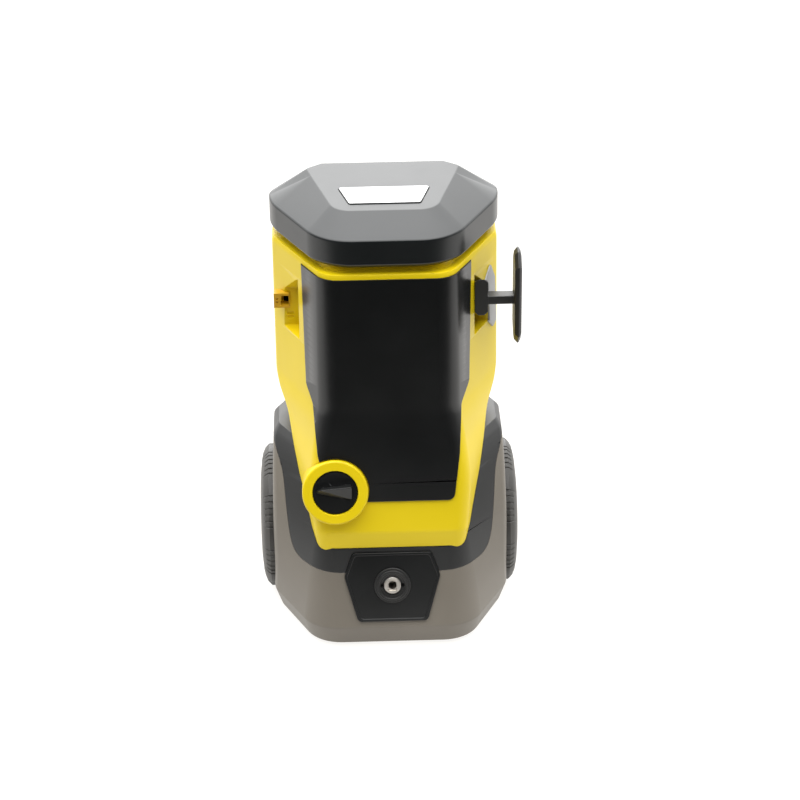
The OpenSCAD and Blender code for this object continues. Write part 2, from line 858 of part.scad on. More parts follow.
motor_y = -45;
pump_z = 28;
pump_h = 52;
swash_h = 48;
motor_z = pump_z + pump_h + swash_h;
motor_h = 168;
motor_r = 52;
module motor_axis(z = 0) {
  translate([0, motor_y, z]) children();
}

module motor_mounts() {
  color("black") for (x = [-28, 28]) for (y = [-30, 30])
    motor_axis(base_z + wall) translate([x, y, 0]) cylinder(r = 8, h = pump_z - base_z - wall);
}

piston_r = 8;
piston_h = 33;
piston_ring = 24;
module piston_places() {
  for (a = [90, 210, 330]) rotate([0, 0, a]) translate([piston_ring, 0, 0]) children();
}

pump_half = 39;
module pump_head() {
  color("goldenrod") difference() {
    motor_axis(pump_z) translate([-pump_half, -40, 0]) cube([2 * pump_half, 80, pump_h]);
    motor_axis(pump_z + 20) piston_places() cylinder(r = piston_r, h = 60);
    motor_axis(pump_z + 6) piston_places() cylinder(r = 5, h = 20);
    outlet_axis() translate([0, 0, -90]) cylinder(r = 4, h = 90);
    rear_pipe(inlet) cylinder(r = 5, h = 60, center = true);
    rear_pipe(port) cylinder(r = 3, h = 40, center = true);
    motor_axis(pump_z + 30) translate([pump_half - 10, 0, 0]) rotate([0, 90, 0]) cylinder(r = 7, h = 20);
  }
}

// Frame where a pipe from the back meets the pump head's rear face.
module rear_pipe(place) {
  translate([place.x, motor_y + 40, place.y]) rotate([-90, 0, 0]) children();
}

module suction_pipe() {
  color("black") rear_pipe(inlet) difference() {
    cylinder(r = 8, h = base_rear_y - 14 - motor_y - 40);
    translate([0, 0, -1]) cylinder(r = 5.5, h = 200);
  }
}

module detergent_tube() {
  color("lightgray") rear_pipe(port) difference() {
    cylinder(r = 5, h = base_rear_y - 14 - motor_y - 40);
    translate([0, 0, -1]) cylinder(r = 3, h = 200);
  }
}

module pressure_pipe() {
  color("silver") difference() {
    intersection() {
      outlet_axis() translate([0, 0, -100]) cylinder(r = 8, h = 100 - nipple_back);
      translate([-50, -200, 0]) cube([100, 200 + motor_y - 40, 200]);
    }
    outlet_axis() translate([0, 0, -110]) cylinder(r = 4, h = 110);
  }
}

module pump_pistons() {
  color("silver") motor_axis(pump_z + 28) piston_places() {
    cylinder(r = piston_r, h = piston_h);
    translate([0, 0, piston_h]) cylinder(r = 10, h = 3);
  }
}

module piston_springs() {
  color("silver") motor_axis(pump_z + pump_h) piston_places() coil_spring(9, 1.4, piston_h - 24, 3);
}

module outlet_valves() {
  color("goldenrod") motor_axis(pump_z + 10) piston_places() {
    cylinder(r = 4.9, h = 6);
    translate([0, 0, 6]) cylinder(r1 = 4.6, r2 = 2, h = 3);
  }
}

module unloader_valve() {
  color("silver") motor_axis(pump_z + 30) translate([pump_half - 10, 0, 0]) rotate([0, 90, 0]) {
    cylinder(r = 7, h = 10);
    translate([0, 0, 10]) cylinder(r = 10, h = 12, $fn = 6);
    translate([0, 0, 22]) cylinder(r = 6, h = 8);
  }
}

module swash_housing() {
  color("silver") difference() {
    motor_axis(pump_z + pump_h) cylinder(r = 46, h = swash_h, $fn = 72);
    motor_axis(pump_z + pump_h - 1) cylinder(r = 41, h = swash_h - 7, $fn = 72);
    motor_axis(0) cylinder(r = bearing_r, h = motor_z + 1);
  }
}

shaft_r = 7;
bearing_r = 16;
plate_z = pump_z + pump_h + 13;
plate_tilt = 8;
// Swash plate: its lower face is tilted, and pushes the pistons in turn.
module swash_plate() {
  color("gray") motor_axis(plate_z) difference() {
    cylinder(r = 36, h = 22, $fn = 72);
    translate([0, 0, 36 * tan(plate_tilt)]) rotate([0, plate_tilt, 0])
      translate([-60, -60, -60]) cube([120, 120, 60]);
    translate([0, 0, -1]) cylinder(r = shaft_r, h = 40);
  }
}

shaft_top = motor_z + motor_h + 22;
module motor_shaft() {
  color("silver") motor_axis(plate_z + 5) cylinder(r = shaft_r, h = shaft_top - plate_z - 5);
}

cap_gap = 9;
cap_r = 15;
module motor_casing() {
  color("darkgray") {
    motor_axis(motor_z) difference() {
      cylinder(r = motor_r, h = motor_h, $fn = 96);
      translate([0, 0, 5]) cylinder(r = motor_r - 4, h = motor_h - 10, $fn = 96);
      translate([0, 0, -1]) cylinder(r = bearing_r, h = motor_h + 2);
    }
    motor_axis(motor_z + 40) for (z = [0, 60]) translate([motor_r - 2, -4, z]) cube([cap_gap + 2, 8, 6]);
  }
}

module motor_stator() {
  color("peru") motor_axis(motor_z + 28) difference() {
    cylinder(r = motor_r - 4, h = 110, $fn = 96);
    translate([0, 0, -1]) cylinder(r = 29.5, h = 112, $fn = 96);
  }
}

module motor_rotor() {
  color("gray") motor_axis(motor_z + 30) difference() {
    cylinder(r = 28.8, h = 106, $fn = 96);
    translate([0, 0, -1]) cylinder(r = shaft_r, h = 110);
  }
}

bearing_fit = 0.05;
module motor_bearings() {
  color("silver") for (z = [motor_z - 7, motor_z + motor_h - 5]) motor_axis(z) difference() {
    cylinder(r = bearing_r, h = z < motor_z ? 12 : 5);
    translate([0, 0, -1]) cylinder(r = shaft_r + bearing_fit, h = 20);
  }
}

module cooling_fan() {
  color("white") motor_axis(motor_z + motor_h + 6) difference() {
    union() {
      cylinder(r = 12, h = 14);
      cylinder(r = 40, h = 2);
      for (a = [0 : 45 : 315]) rotate([0, 0, a]) translate([10, -1, 1]) cube([29, 2, 12]);
    }
    translate([0, 0, -1]) cylinder(r = shaft_r, h = 20);
  }
}

module fan_cover() {
  color("darkgray") motor_axis(motor_z + motor_h) difference() {
    cylinder(r = motor_r, h = 32, $fn = 96);
    translate([0, 0, -1]) cylinder(r = motor_r - 4, h = 29, $fn = 96);
    for (a = [0 : 30 : 330]) rotate([0, 0, a]) translate([14, -2, 20]) cube([28, 4, 20]);
  }
}

module run_capacitor() {
  color("lightgray") motor_axis(motor_z + 20) translate([motor_r + cap_gap + cap_r, 0, 0]) {
    cylinder(r = cap_r, h = 90);
    translate([0, 0, 90]) cylinder(r = 6, h = 8);
  }
}

// Point at t on the smooth curve between b and c, with neighbours a and d.
function curve(a, b, c, d, t) =
  0.5 * (2 * b + (c - a) * t + (2 * a - 5 * b + 4 * c - d) * t * t + (3 * b - a - 3 * c + d) * t * t * t);

// Supply lead inside the housing, from the gland to the switch.
module supply_lead() {
  switch_back_y = knob_y + 52 * cos(front_lean);
  stops = [[0, base_rear_y, gland.y], [0, base_rear_y - 10, gland.y], [-34, 84, 116], [-76, 40, 152],
           [-82, -30, 174], [knob_x - 2, switch_back_y + 1.4, 185], [knob_x, switch_back_y - 30, 192]];
  color("black") tube_along([for (i = [1 : len(stops) - 3]) for (k = [0 : 4])
    if (i == len(stops) - 3 || k < 4) curve(stops[i - 1], stops[i], stops[i + 1], stops[i + 2], k / 4)], 3.6, 12);
}

base_shell();
shoulder_frame();
front_housing();
rear_housing();
front_panel();
top_lid();
nameplate();
switch_collar();
outlet_bezel();
outlet_socket();
outlet_nipple();
accessory_hook();
hook_pad();
accessory_catch();
handle_guides();
tube_brackets();
lance_holders();
water_inlet();
inlet_strainer();
detergent_port();
cable_gland();
front_feet();
housing_screws();
bracket_screws();
wheel_axle();
axle_clips();
motor_mounts();
pump_head();
pump_pistons();
piston_springs();
outlet_valves();
unloader_valve();
pressure_pipe();
suction_pipe();
detergent_tube();
swash_housing();
motor_casing();
motor_stator();
motor_bearings();
fan_cover();
run_capacitor();
switch_box();
supply_lead();
left_wheel();
left_tyre();
left_hub_cap();
right_wheel();
right_tyre();
right_hub_cap();
handle_tubes();
handle_grip();
button_spring();
release_button();
switch_knob();
switch_spindle();
motor_shaft();
motor_rotor();
cooling_fan();
swash_plate();
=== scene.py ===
"""Looks of an upright pressure washer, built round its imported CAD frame.

Lengths are in millimetres until make().
"""
import json
import math

import bmesh
import bpy
from mathutils import Matrix, Vector


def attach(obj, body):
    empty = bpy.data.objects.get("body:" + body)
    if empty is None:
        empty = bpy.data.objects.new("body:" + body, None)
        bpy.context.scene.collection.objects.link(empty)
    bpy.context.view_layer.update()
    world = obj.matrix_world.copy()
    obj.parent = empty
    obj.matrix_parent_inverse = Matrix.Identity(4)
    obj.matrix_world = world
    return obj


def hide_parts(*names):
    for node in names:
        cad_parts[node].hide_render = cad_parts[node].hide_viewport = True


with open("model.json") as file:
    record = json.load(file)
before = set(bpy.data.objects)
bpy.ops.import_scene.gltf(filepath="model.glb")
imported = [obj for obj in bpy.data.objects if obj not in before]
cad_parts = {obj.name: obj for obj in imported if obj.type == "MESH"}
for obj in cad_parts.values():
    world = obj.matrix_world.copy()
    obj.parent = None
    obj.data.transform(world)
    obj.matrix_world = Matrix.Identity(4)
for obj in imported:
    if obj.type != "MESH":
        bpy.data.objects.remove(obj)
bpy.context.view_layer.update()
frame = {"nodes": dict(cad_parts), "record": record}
scene = bpy.context.scene
MM = 0.001

# ---------------------------------------------------------------- sizes shared with the CAD
BODY_W, BODY_H, BASE_W, WALL, LEAN = 256.0, 512.0, 274.0, 3.0, 15.0
HALF_BODY, HALF_BASE = BODY_W / 2, BASE_W / 2
CREASE_Y, CREASE_Z, BASE_Z, SHOULDER_Z = -157.0, 31.0, 5.0, 223.0
LID_RIM_Z, LID_EDGE_Z, LIP_Z = BODY_H - 54, BODY_H - 21, BODY_H - 62
SPLIT_Y, REAR_Y, BASE_REAR_Y = 60.0, 116.0, 124.0
WHEEL_R, AXLE_Y, AXLE_D = 85.0, 15.0, 12.0
TREAD_IN, TREAD_W = 109.0, 32.0
TREAD_OUT = TREAD_IN + TREAD_W
WELL_X, WELL_GAP = 104.0, 4.0
TUBE_X, TUBE_Y, TUBE_D = 55.0, 135.0, 18.0
TOP_SLOPE, TOP_Z, TOP_Y = 0.045, BODY_H - 6, -46.0
INLET_AT, PORT_AT, GLAND_AT = (24, 62), (-24, 62), (0, 104)
FOOT_X, FOOT_Y = 62.0, -122.0


def rad(a):
    return math.radians(a)


def front_y(z):
    return CREASE_Y + (z - CREASE_Z) * math.tan(rad(LEAN))


# ---------------------------------------------------------------- mesh tools
def place(x=0, y=0, z=0, rx=0, ry=0, rz=0):
    """Frame at a point in millimetres, turned about X, then Y, then Z by degrees."""
    turn_x, turn_y = Matrix.Rotation(rad(rx), 4, "X"), Matrix.Rotation(rad(ry), 4, "Y")
    return Matrix.Translation((x, y, z)) @ (Matrix.Rotation(rad(rz), 4, "Z") @ turn_y @ turn_x)


FRONT = Matrix(((1, 0, 0, 0), (0, 0, -1, 0), (0, 1, 0, 0), (0, 0, 0, 1)))  # outline x, z; depth towards -Y
SIDE = Matrix(((0, 0, 1, 0), (1, 0, 0, 0), (0, 1, 0, 0), (0, 0, 0, 1)))  # outline y, z; depth towards +X
SWITCH = place(-63, -135, 198, rx=90 - LEAN)
OUTLET = place(0, front_y(80), 80, rx=90 - LEAN)
AXLE = place(0, AXLE_Y, WHEEL_R, ry=90)


def at_rear(x, z, y=BASE_REAR_Y):
    return place(x, y, z, rx=-90)


def make(name, verts, faces, at=None):
    points = [Vector(v) for v in verts]
    if at is not None:
        points = [at @ p for p in points]
    mesh = bpy.data.meshes.new(name)
    mesh.from_pydata([p * MM for p in points], [], faces)
    bm = bmesh.new()
    bm.from_mesh(mesh)
    bmesh.ops.remove_doubles(bm, verts=bm.verts, dist=1e-6)
    bmesh.ops.recalc_face_normals(bm, faces=bm.faces)
    bm.to_mesh(mesh)
    bm.free()
    obj = bpy.data.objects.new(name, mesh)
    scene.collection.objects.link(obj)
    return obj


def loft(name, rings, at=None):
    n = len(rings[0])
    verts = [p for r in rings for p in r]
    faces = []
    for i in range(len(rings) - 1):
        for j in range(n):
            a, b = i * n + j, i * n + (j + 1) % n
            faces.append((a, b, b + n, a + n))
    faces.append(tuple(range(n))[::-1])
    faces.append(tuple((len(rings) - 1) * n + j for j in range(n)))
    return make(name, verts, faces, at)


def prism(name, outline, z0, z1, at=None):
    return loft(name, [[(x, y, z) for x, y in outline] for z in (z0, z1)], at)


def lathe(name, profile, at=None, steps=96):
    """Solid turned from a closed outline of (radius, height) round the frame's Z."""
    n = len(profile)
    verts = [(r * math.cos(2 * math.pi * k / steps), r * math.sin(2 * math.pi * k / steps), z)
             for k in range(steps) for r, z in profile]
    faces = []
    for k in range(steps):
        for i in range(n):
            a, b = k * n + i, k * n + (i + 1) % n
            c, d = ((k + 1) % steps) * n + (i + 1) % n, ((k + 1) % steps) * n + i
            if profile[i][0] > 1e-6 and profile[(i + 1) % n][0] > 1e-6:
                faces.append((a, b, c, d))
            elif profile[i][0] > 1e-6:
                faces.append((a, b, d))
            elif profile[(i + 1) % n][0] > 1e-6:
                faces.append((a, b, c))
    return make(name, verts, faces, at)


def rod(name, r, z0, z1, at=None, steps=96, soft=0.0):
    """Round bar whose ends are rounded by soft."""
    top = [(r - soft + soft * math.cos(rad(a)), z1 - soft + soft * math.sin(rad(a))) for a in (0, 30, 60, 90)]
    low = [(r - soft + soft * math.cos(rad(a)), z0 + soft - soft * math.sin(rad(a))) for a in (90, 60, 30, 0)]
    profile = [(0, z0)] + (low + top if soft else [(r, z0), (r, z1)]) + [(0, z1)]
    return lathe(name, profile, at, steps)


def block(name, x0, x1, y0, y1, z0, z1, at=None):
    return prism(name, [(x0, y0), (x1, y0), (x1, y1), (x0, y1)], z0, z1, at)


def settle(obj):
    """Applies the modifiers."""
    graph = bpy.context.evaluated_depsgraph_get()
    old = obj.data
    obj.data = bpy.data.meshes.new_from_object(obj.evaluated_get(graph))
    obj.data.name = obj.name
    obj.modifiers.clear()
    bpy.data.meshes.remove(old)
    return obj


def boolean(obj, tools, how="DIFFERENCE"):
    tools = tools if isinstance(tools, (list, tuple)) else [tools]
    for tool in tools:
        m = obj.modifiers.new("cut", "BOOLEAN")
        m.operation = how
        m.solver = "EXACT"
        m.object = tool
        settle(obj)
        bpy.data.objects.remove(tool)
    return obj


def copy_of(obj, name):
    new = obj.copy()
    new.data = obj.data.copy()
    new.name = name
    scene.collection.objects.link(new)
    return new


def mirror_x(obj, name):
    new = copy_of(obj, name)
    new.data.transform(Matrix.Scale(-1, 4, (1, 0, 0)))
    new.data.flip_normals()
    return new


def clean(obj, dist=0.02):
    bm = bmesh.new()
    bm.from_mesh(obj.data)
    bmesh.ops.remove_doubles(bm, verts=bm.verts, dist=dist * MM)
    bmesh.ops.dissolve_degenerate(bm, edges=bm.edges, dist=0.01 * MM)
    bm.to_mesh(obj.data)
    bm.free()
    return obj


def soften(obj, width=0.8, angle=30, segments=2, smooth=30):
    """Rounds the edges sharper than angle, and shades the rest smooth."""
    if width:
        clean(obj)
        m = obj.modifiers.new("round", "BEVEL")
        m.width = width * MM
        m.segments = segments
        m.limit_method = "ANGLE"
        m.angle_limit = rad(angle)
        m.use_clamp_overlap = False
        m.miter_outer = "MITER_ARC"
        settle(obj)
    for p in obj.data.polygons:
        p.use_smooth = True
    obj.data.set_sharp_from_angle(angle=rad(smooth))
    m = obj.modifiers.new("normals", "WEIGHTED_NORMAL")
    m.keep_sharp = True
    m.weight = 60
    return settle(obj)


def join(name, parts):
    """Several meshes as one object."""
    bm = bmesh.new()
    for p in parts:
        p.data.transform(p.matrix_world)
        bm.from_mesh(p.data)
        bpy.data.objects.remove(p)
    mesh = bpy.data.meshes.new(name)
    bm.to_mesh(mesh)
    bm.free()
    obj = bpy.data.objects.new(name, mesh)
    scene.collection.objects.link(obj)
    return obj


# ---------------------------------------------------------------- materials
def mix_colour(nt, factor, a, b):
    m = nt.nodes.new("ShaderNodeMix")
    m.data_type = "RGBA"
    m.inputs["A"].default_value = (*a, 1)
    m.inputs["B"].default_value = (*b, 1)
    nt.links.new(factor, m.inputs["Factor"])
    return m.outputs["Result"]


def ramp(nt, value, low, high, out_low=0.0, out_high=1.0):
    m = nt.nodes.new("ShaderNodeMapRange")
    m.inputs["From Min"].default_value = low
    m.inputs["From Max"].default_value = high
    m.inputs["To Min"].default_value = out_low
    m.inputs["To Max"].default_value = out_high
    nt.links.new(value, m.inputs["Value"])
    return m.outputs["Result"]


def noise(nt, coords, scale, detail=2.0, rough=0.5):
    n = nt.nodes.new("ShaderNodeTexNoise")
    n.inputs["Scale"].default_value = scale
    n.inputs["Detail"].default_value = detail
    n.inputs["Roughness"].default_value = rough
    nt.links.new(coords, n.inputs["Vector"])
    return n.outputs["Fac"]


def stretched(nt, coords, factors):
    m = nt.nodes.new("ShaderNodeMapping")
    m.inputs["Scale"].default_value = factors
    nt.links.new(coords, m.inputs["Vector"])
    return m.outputs["Vector"]


def bump(nt, height, strength, distance, normal=None):
    b = nt.nodes.new("ShaderNodeBump")
    b.inputs["Strength"].default_value = strength
    b.inputs["Distance"].default_value = distance
    nt.links.new(height, b.inputs["Height"])
    if normal is not None:
        nt.links.new(normal, b.inputs["Normal"])
    return b.outputs["Normal"]


def start_material(name):
    m = bpy.data.materials.new(name)
    m.use_nodes = True
    nt = m.node_tree
    shader = nt.nodes["Principled BSDF"]
    coords = nt.nodes.new("ShaderNodeTexCoord").outputs["Object"]
    return m, nt, shader, coords


def moulded(name, colour, rough=0.4, grain=0.2, grain_scale=1400, vary=0.05, ior=1.5, wear=0.03,
            scuff=0.0):
    """Injection-moulded plastic: fine spark grain, slow tone change, uneven gloss, worn edges."""
    m, nt, shader, coords = start_material(name)
    deep = tuple(c * (1 - vary) for c in colour)
    pale = tuple(min(1, c * (1 + vary) + 0.002) for c in colour)
    slow = noise(nt, coords, 9.0, 3.0)
    tone = nt.nodes.new("ShaderNodeMix")
    tone.data_type = "RGBA"
    nt.links.new(ramp(nt, slow, 0.35, 0.65), tone.inputs["Factor"])
    tone.inputs["A"].default_value = (*deep, 1)
    tone.inputs["B"].default_value = (*pale, 1)
    edge = nt.nodes.new("ShaderNodeNewGeometry").outputs["Pointiness"]
    worn = nt.nodes.new("ShaderNodeMix")
    worn.data_type = "RGBA"
    nt.links.new(tone.outputs["Result"], worn.inputs["A"])
    worn.inputs["B"].default_value = (*[min(1, c * 1.25 + 0.05) for c in colour], 1)
    nt.links.new(ramp(nt, edge, 0.54, 0.62, 0.0, wear * 6), worn.inputs["Factor"])
    nt.links.new(worn.outputs["Result"], shader.inputs["Base Color"])
    patch = noise(nt, coords, 20.0, 3.0, 0.5)
    nt.links.new(ramp(nt, patch, 0.2, 0.8, rough - 0.03, rough + 0.04), shader.inputs["Roughness"])
    fine = noise(nt, coords, grain_scale, 2.0)
    normal = bump(nt, fine, grain, 0.00005)
    if scuff:
        hair = noise(nt, stretched(nt, coords, (700, 30, 260)), 1.0, 3.0)
        normal = bump(nt, hair, scuff, 0.00008, normal)
    nt.links.new(normal, shader.inputs["Normal"])
    shader.inputs["IOR"].default_value = ior
    return m


def metal(name, colour, rough=0.3, along=None, cast=0.0, vary=0.06):
    """Bare metal with fine draw lines along a direction, or a cast skin."""
    m, nt, shader, coords = start_material(name)
    shader.inputs["Metallic"].default_value = 1.0
    deep = tuple(c * (1 - vary) for c in colour)
    tone = mix_colour(nt, ramp(nt, noise(nt, coords, 30, 4), 0.3, 0.7), deep, colour)
    nt.links.new(tone, shader.inputs["Base Color"])
    scale = {None: (500, 500, 500), "z": (1800, 1800, 25), "x": (25, 1800, 1800)}[along]
    lines = noise(nt, stretched(nt, coords, scale), 1.0, 3.0)
    nt.links.new(ramp(nt, lines, 0.3, 0.7, rough - 0.06, rough + 0.1), shader.inputs["Roughness"])
    normal = bump(nt, lines, 0.12, 0.00006)
    if cast:
        normal = bump(nt, noise(nt, coords, 900, 4), cast, 0.0003, normal)
    nt.links.new(normal, shader.inputs["Normal"])
    return m


MATS = {
    "yellow_shell": moulded("yellow_shell", (0.73, 0.55, 0.004), rough=0.36, grain=0.10, vary=0.02,
                            wear=0.0, ior=1.36),
    "black_shell": moulded("black_shell", (0.017, 0.0175, 0.0175), rough=0.40, grain=0.30, vary=0.08,
                           scuff=0.05),
    "grey_shell": moulded("grey_shell", (0.150, 0.133, 0.108), rough=0.42, grain=0.30, vary=0.05),
    "wheel_plastic": moulded("wheel_plastic", (0.11, 0.102, 0.088), rough=0.45, grain=0.30, vary=0.06),
    "tyre_tread": moulded("tyre_tread", (0.040, 0.038, 0.034), rough=0.50, grain=0.35, grain_scale=900,
                          vary=0.08),
    "slate_lid": moulded("slate_lid", (0.009, 0.011, 0.0115), rough=0.30, grain=0.05, vary=0.04, wear=0.0),
    "gloss_black": moulded("gloss_black", (0.0055, 0.006, 0.0062), rough=0.30, grain=0.04, vary=0.04,
                           wear=0.0),
    "badge": moulded("badge", (0.86, 0.87, 0.86), rough=0.25, grain=0.05, vary=0.02, wear=0.0),
    "socket_grey": moulded("socket_grey", (0.012, 0.012, 0.0117), rough=0.42, grain=0.25, vary=0.08),
    "pad_grey": moulded("pad_grey", (0.36, 0.36, 0.355), rough=0.45, grain=0.25, vary=0.05),
    "catch_orange": moulded("catch_orange", (0.55, 0.31, 0.004), rough=0.38, grain=0.15, vary=0.08),
    "inlet_black": moulded("inlet_black", (0.018, 0.018, 0.018), rough=0.42, grain=0.25, vary=0.10),
    "rubber": moulded("rubber", (0.022, 0.022, 0.022), rough=0.70, grain=0.55, grain_scale=700, vary=0.15),
    "white_plastic": moulded("white_plastic", (0.72, 0.71, 0.68), rough=0.45, grain=0.2, vary=0.03),
    "cover_grey": moulded("cover_grey", (0.12, 0.12, 0.125), rough=0.5, grain=0.3, vary=0.06),
    "clear_hose": moulded("clear_hose", (0.55, 0.58, 0.55), rough=0.25, grain=0.05, vary=0.05),
    "nickel": metal("nickel", (0.78, 0.74, 0.68), rough=0.38),
    "steel": metal("steel", (0.60, 0.60, 0.60), rough=0.28),
    "tube_aluminium": metal("tube_aluminium", (0.75, 0.76, 0.77), rough=0.30, along="z"),
    "pump_brass": metal("pump_brass", (0.72, 0.52, 0.22), rough=0.32, cast=0.2),
    "cast_aluminium": metal("cast_aluminium", (0.60, 0.61, 0.62), rough=0.45, cast=0.6),
    "laminations": metal("laminations", (0.35, 0.33, 0.31), rough=0.4, along="x"),
}

frame_slots = {s["node"]: s["material_slot"] for s in frame["record"]["subparts"]}
for node_name, node_obj in frame["nodes"].items():
    node_obj.data.materials.clear()
    node_obj.data.materials.append(MATS[frame_slots[node_name]])


def dress(obj, slot_name, body, *nodes):
    """Gives a finished piece its material and its body, and hides the CAD nodes that it stands for."""
    obj.data.materials.clear()
    obj.data.materials.append(MATS[slot_name])
    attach(obj, body)
    if nodes:
        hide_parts(*nodes)
    return obj


# ---------------------------------------------------------------- body sections
def corner(p, a, b, r, k):
    p, a, b = Vector(p), Vector(a), Vector(b)
    u, v = (a - p).normalized(), (b - p).normalized()
    half = math.acos(max(-1, min(1, u.dot(v)))) / 2
    start, stop = p + u * r / math.tan(half), p + v * r / math.tan(half)
    c = p + (u + v).normalized() * r / math.sin(half)
    a0 = math.atan2(start.y - c.y, start.x - c.x)
    a1 = math.atan2(stop.y - c.y, stop.x - c.x)
    d = (a1 - a0 + math.pi) % (2 * math.pi) - math.pi
    return [(c.x + r * math.cos(a0 + d * i / k), c.y + r * math.sin(a0 + d * i / k)) for i in range(k + 1)]


def rounded(points, radii, k=8):
    n = len(points)
    if not isinstance(radii, (list, tuple)):
        radii = [radii] * n
    out = []
    for i in range(n):
        if radii[i] <= 0:
            out.append(tuple(points[i]))
        else:
            out += corner(points[i], points[i - 1], points[(i + 1) % n], radii[i], k)
    return out


def ring(s, t=0.0, k=8):
    z, xf, yf, xs, y1, y2, xb, yb, rf, rs = s
    xf, yf, xs = xf - 0.6 * t, yf + t, xs - t
    y1, y2, xb, yb, rf = y1 + 0.25 * t, y2 - 0.25 * t, xb - 0.5 * t, yb - t, rf - 0.6 * t
    pts = [(-xf, yf), (xf, yf), (xs, y1), (xs, y2), (xb, yb), (-xb, yb), (-xs, y2), (-xs, y1)]
    return [(x, y, z) for x, y in rounded(pts, [rf, rf, rs, rs, rs, rs, rs, rs], k)]


LOWER = [
    [BASE_Z, 86, CREASE_Y + 10, HALF_BASE - 7, -56, 66, 84, BASE_REAR_Y - 4, 44, 34],
    [CREASE_Z, 90, CREASE_Y, HALF_BASE, -65, 66, 84, BASE_REAR_Y, 46, 30],
    [WHEEL_R, 84, front_y(WHEEL_R), HALF_BASE - 1, -79, 66, 84, BASE_REAR_Y, 40, 22],
    [128, 79, front_y(128), HALF_BASE - 1, -73, 66, 84, BASE_REAR_Y, 34, 18],
    [162, 75, front_y(162) + 1, HALF_BASE - 1.5, -58, 62, 84, BASE_REAR_Y, 31, 18],
    [195, 72, front_y(195) + 3, HALF_BASE - 2.5, -34, 54, 84, BASE_REAR_Y, 30, 18],
    [SHOULDER_Z - 9, 72, -107, HALF_BASE - 4, -16, 40, 84, BASE_REAR_Y, 30, 18],
    [SHOULDER_Z, 71, -105, HALF_BASE - 10, -10, 32, 82, BASE_REAR_Y - 2, 30, 18],
]
UPPER = [
    [113.5, 76, -126, 88, -100, 50, 60, REAR_Y, 12, 18],
    [120.5, 82, -131.5, 93, -96, 50, 60, REAR_Y, 14, 18],
    [144, 85, -134, 97, -90, 50, 60, REAR_Y, 15, 18],
    [190, 88, -126, 104, -72, 52, 64, REAR_Y, 17, 18],
    [218, 86, -121, 110, -50, 53, 66, REAR_Y, 19, 18],
    [246, 82, -116, HALF_BODY - 12, -20, 54, 68, REAR_Y, 22, 18],
    [268, 77, -112.5, HALF_BODY - 3.5, -3, 55, 70, REAR_Y, 25, 18],
    [286, 72, -110, HALF_BODY, 5, 56, 70, REAR_Y, 26, 18],
    [LIP_Z - 5, 70, -95.5, HALF_BODY, 15, 56, 70, REAR_Y, 28, 18],
    [LIP_Z, 70, -93.5, HALF_BODY - 2, 15, 55, 69, REAR_Y - 2, 28, 18],
]


def between(sections, creases, step=7.0):
    """Sections filled in along smooth curves, which break at the creases."""
    out = []
    n = len(sections)
    for i in range(n - 1):
        a, b = sections[i], sections[i + 1]
        before = sections[i - 1] if i > 0 and i not in creases else None
        after = sections[i + 2] if i + 2 < n and i + 1 not in creases else None
        h = b[0] - a[0]
        ma = [(b[c] - before[c]) / (b[0] - before[0]) if before else (b[c] - a[c]) / h for c in range(1, 10)]
        mb = [(after[c] - a[c]) / (after[0] - a[0]) if after else (b[c] - a[c]) / h for c in range(1, 10)]
        steps = max(1, round(h / step))
        for s in range(steps):
            t = s / steps
            h00, h10 = 2 * t**3 - 3 * t**2 + 1, t**3 - 2 * t**2 + t
            h01, h11 = -2 * t**3 + 3 * t**2, t**3 - t**2
            out.append([a[0] + h * t] + [h00 * a[c] + h10 * h * ma[c - 1] + h01 * b[c] + h11 * h * mb[c - 1]
                                         for c in range(1, 10)])
    out.append(list(sections[-1]))
    return out


def shifted(sections, low, high):
    out = [list(s) for s in sections]
    out[0][0] += low
    out[-1][0] -= high
    return out


def round_rings(rings, level, d):
    """Rounds the crease at one ring of a loft, over a distance d each way."""
    i = level
    parts = []
    for t in (0.0, 0.25, 0.5, 0.75, 1.0):
        row = []
        for a, p, b in zip(rings[i - 1], rings[i], rings[i + 1]):
            a, p, b = Vector(a), Vector(p), Vector(b)
            p0 = p + (a - p).normalized() * min(d, (a - p).length * 0.9)
            p1 = p + (b - p).normalized() * min(d, (b - p).length * 0.9)
            row.append(tuple(p0 * (1 - t) ** 2 + p * 2 * t * (1 - t) + p1 * t**2))
        parts.append(row)
    return rings[:i] + parts + rings[i + 1:]


def lower_form(t=0.0):
    sections = between(shifted(LOWER, t, t), {1, 6})
    rings = [ring(s, t) for s in sections]
    if t <= 0:
        for level in (len(rings) - 2, [round(s[0]) for s in sections].index(31)):
            rings = round_rings(rings, level, 4.0 if level > 9 else 2.0)
    return loft("lower", rings)


def upper_form(t=0.0, soft=True):
    sections = between(shifted(UPPER, max(t, 0) * -1, max(t, 0)), {1, 2, 7, 8})
    rings = [ring(s, t) for s in sections]
    if t <= 0 and soft:
        for z, d in ((LIP_Z - 5, 2.0), (286, 5.0), (144, 3.0), (120.5, 3.0)):
            level = min(range(len(rings)), key=lambda i: abs(rings[i][0][2] - z))
            rings = round_rings(rings, level, d)
    return loft("upper", rings)


def neck_form(t=0.0):
    s = UPPER[-1]
    low, high = [LIP_Z - (8 if t > 0 else 0)] + s[1:], [LID_RIM_Z + 10 + (1 if t > 0 else 0)] + s[1:]
    return loft("neck", [ring(low, 9 + t), ring(high, 9 + t)])


def both_sides(points):
    return points + [(-x, z) for x, z in reversed(points)]


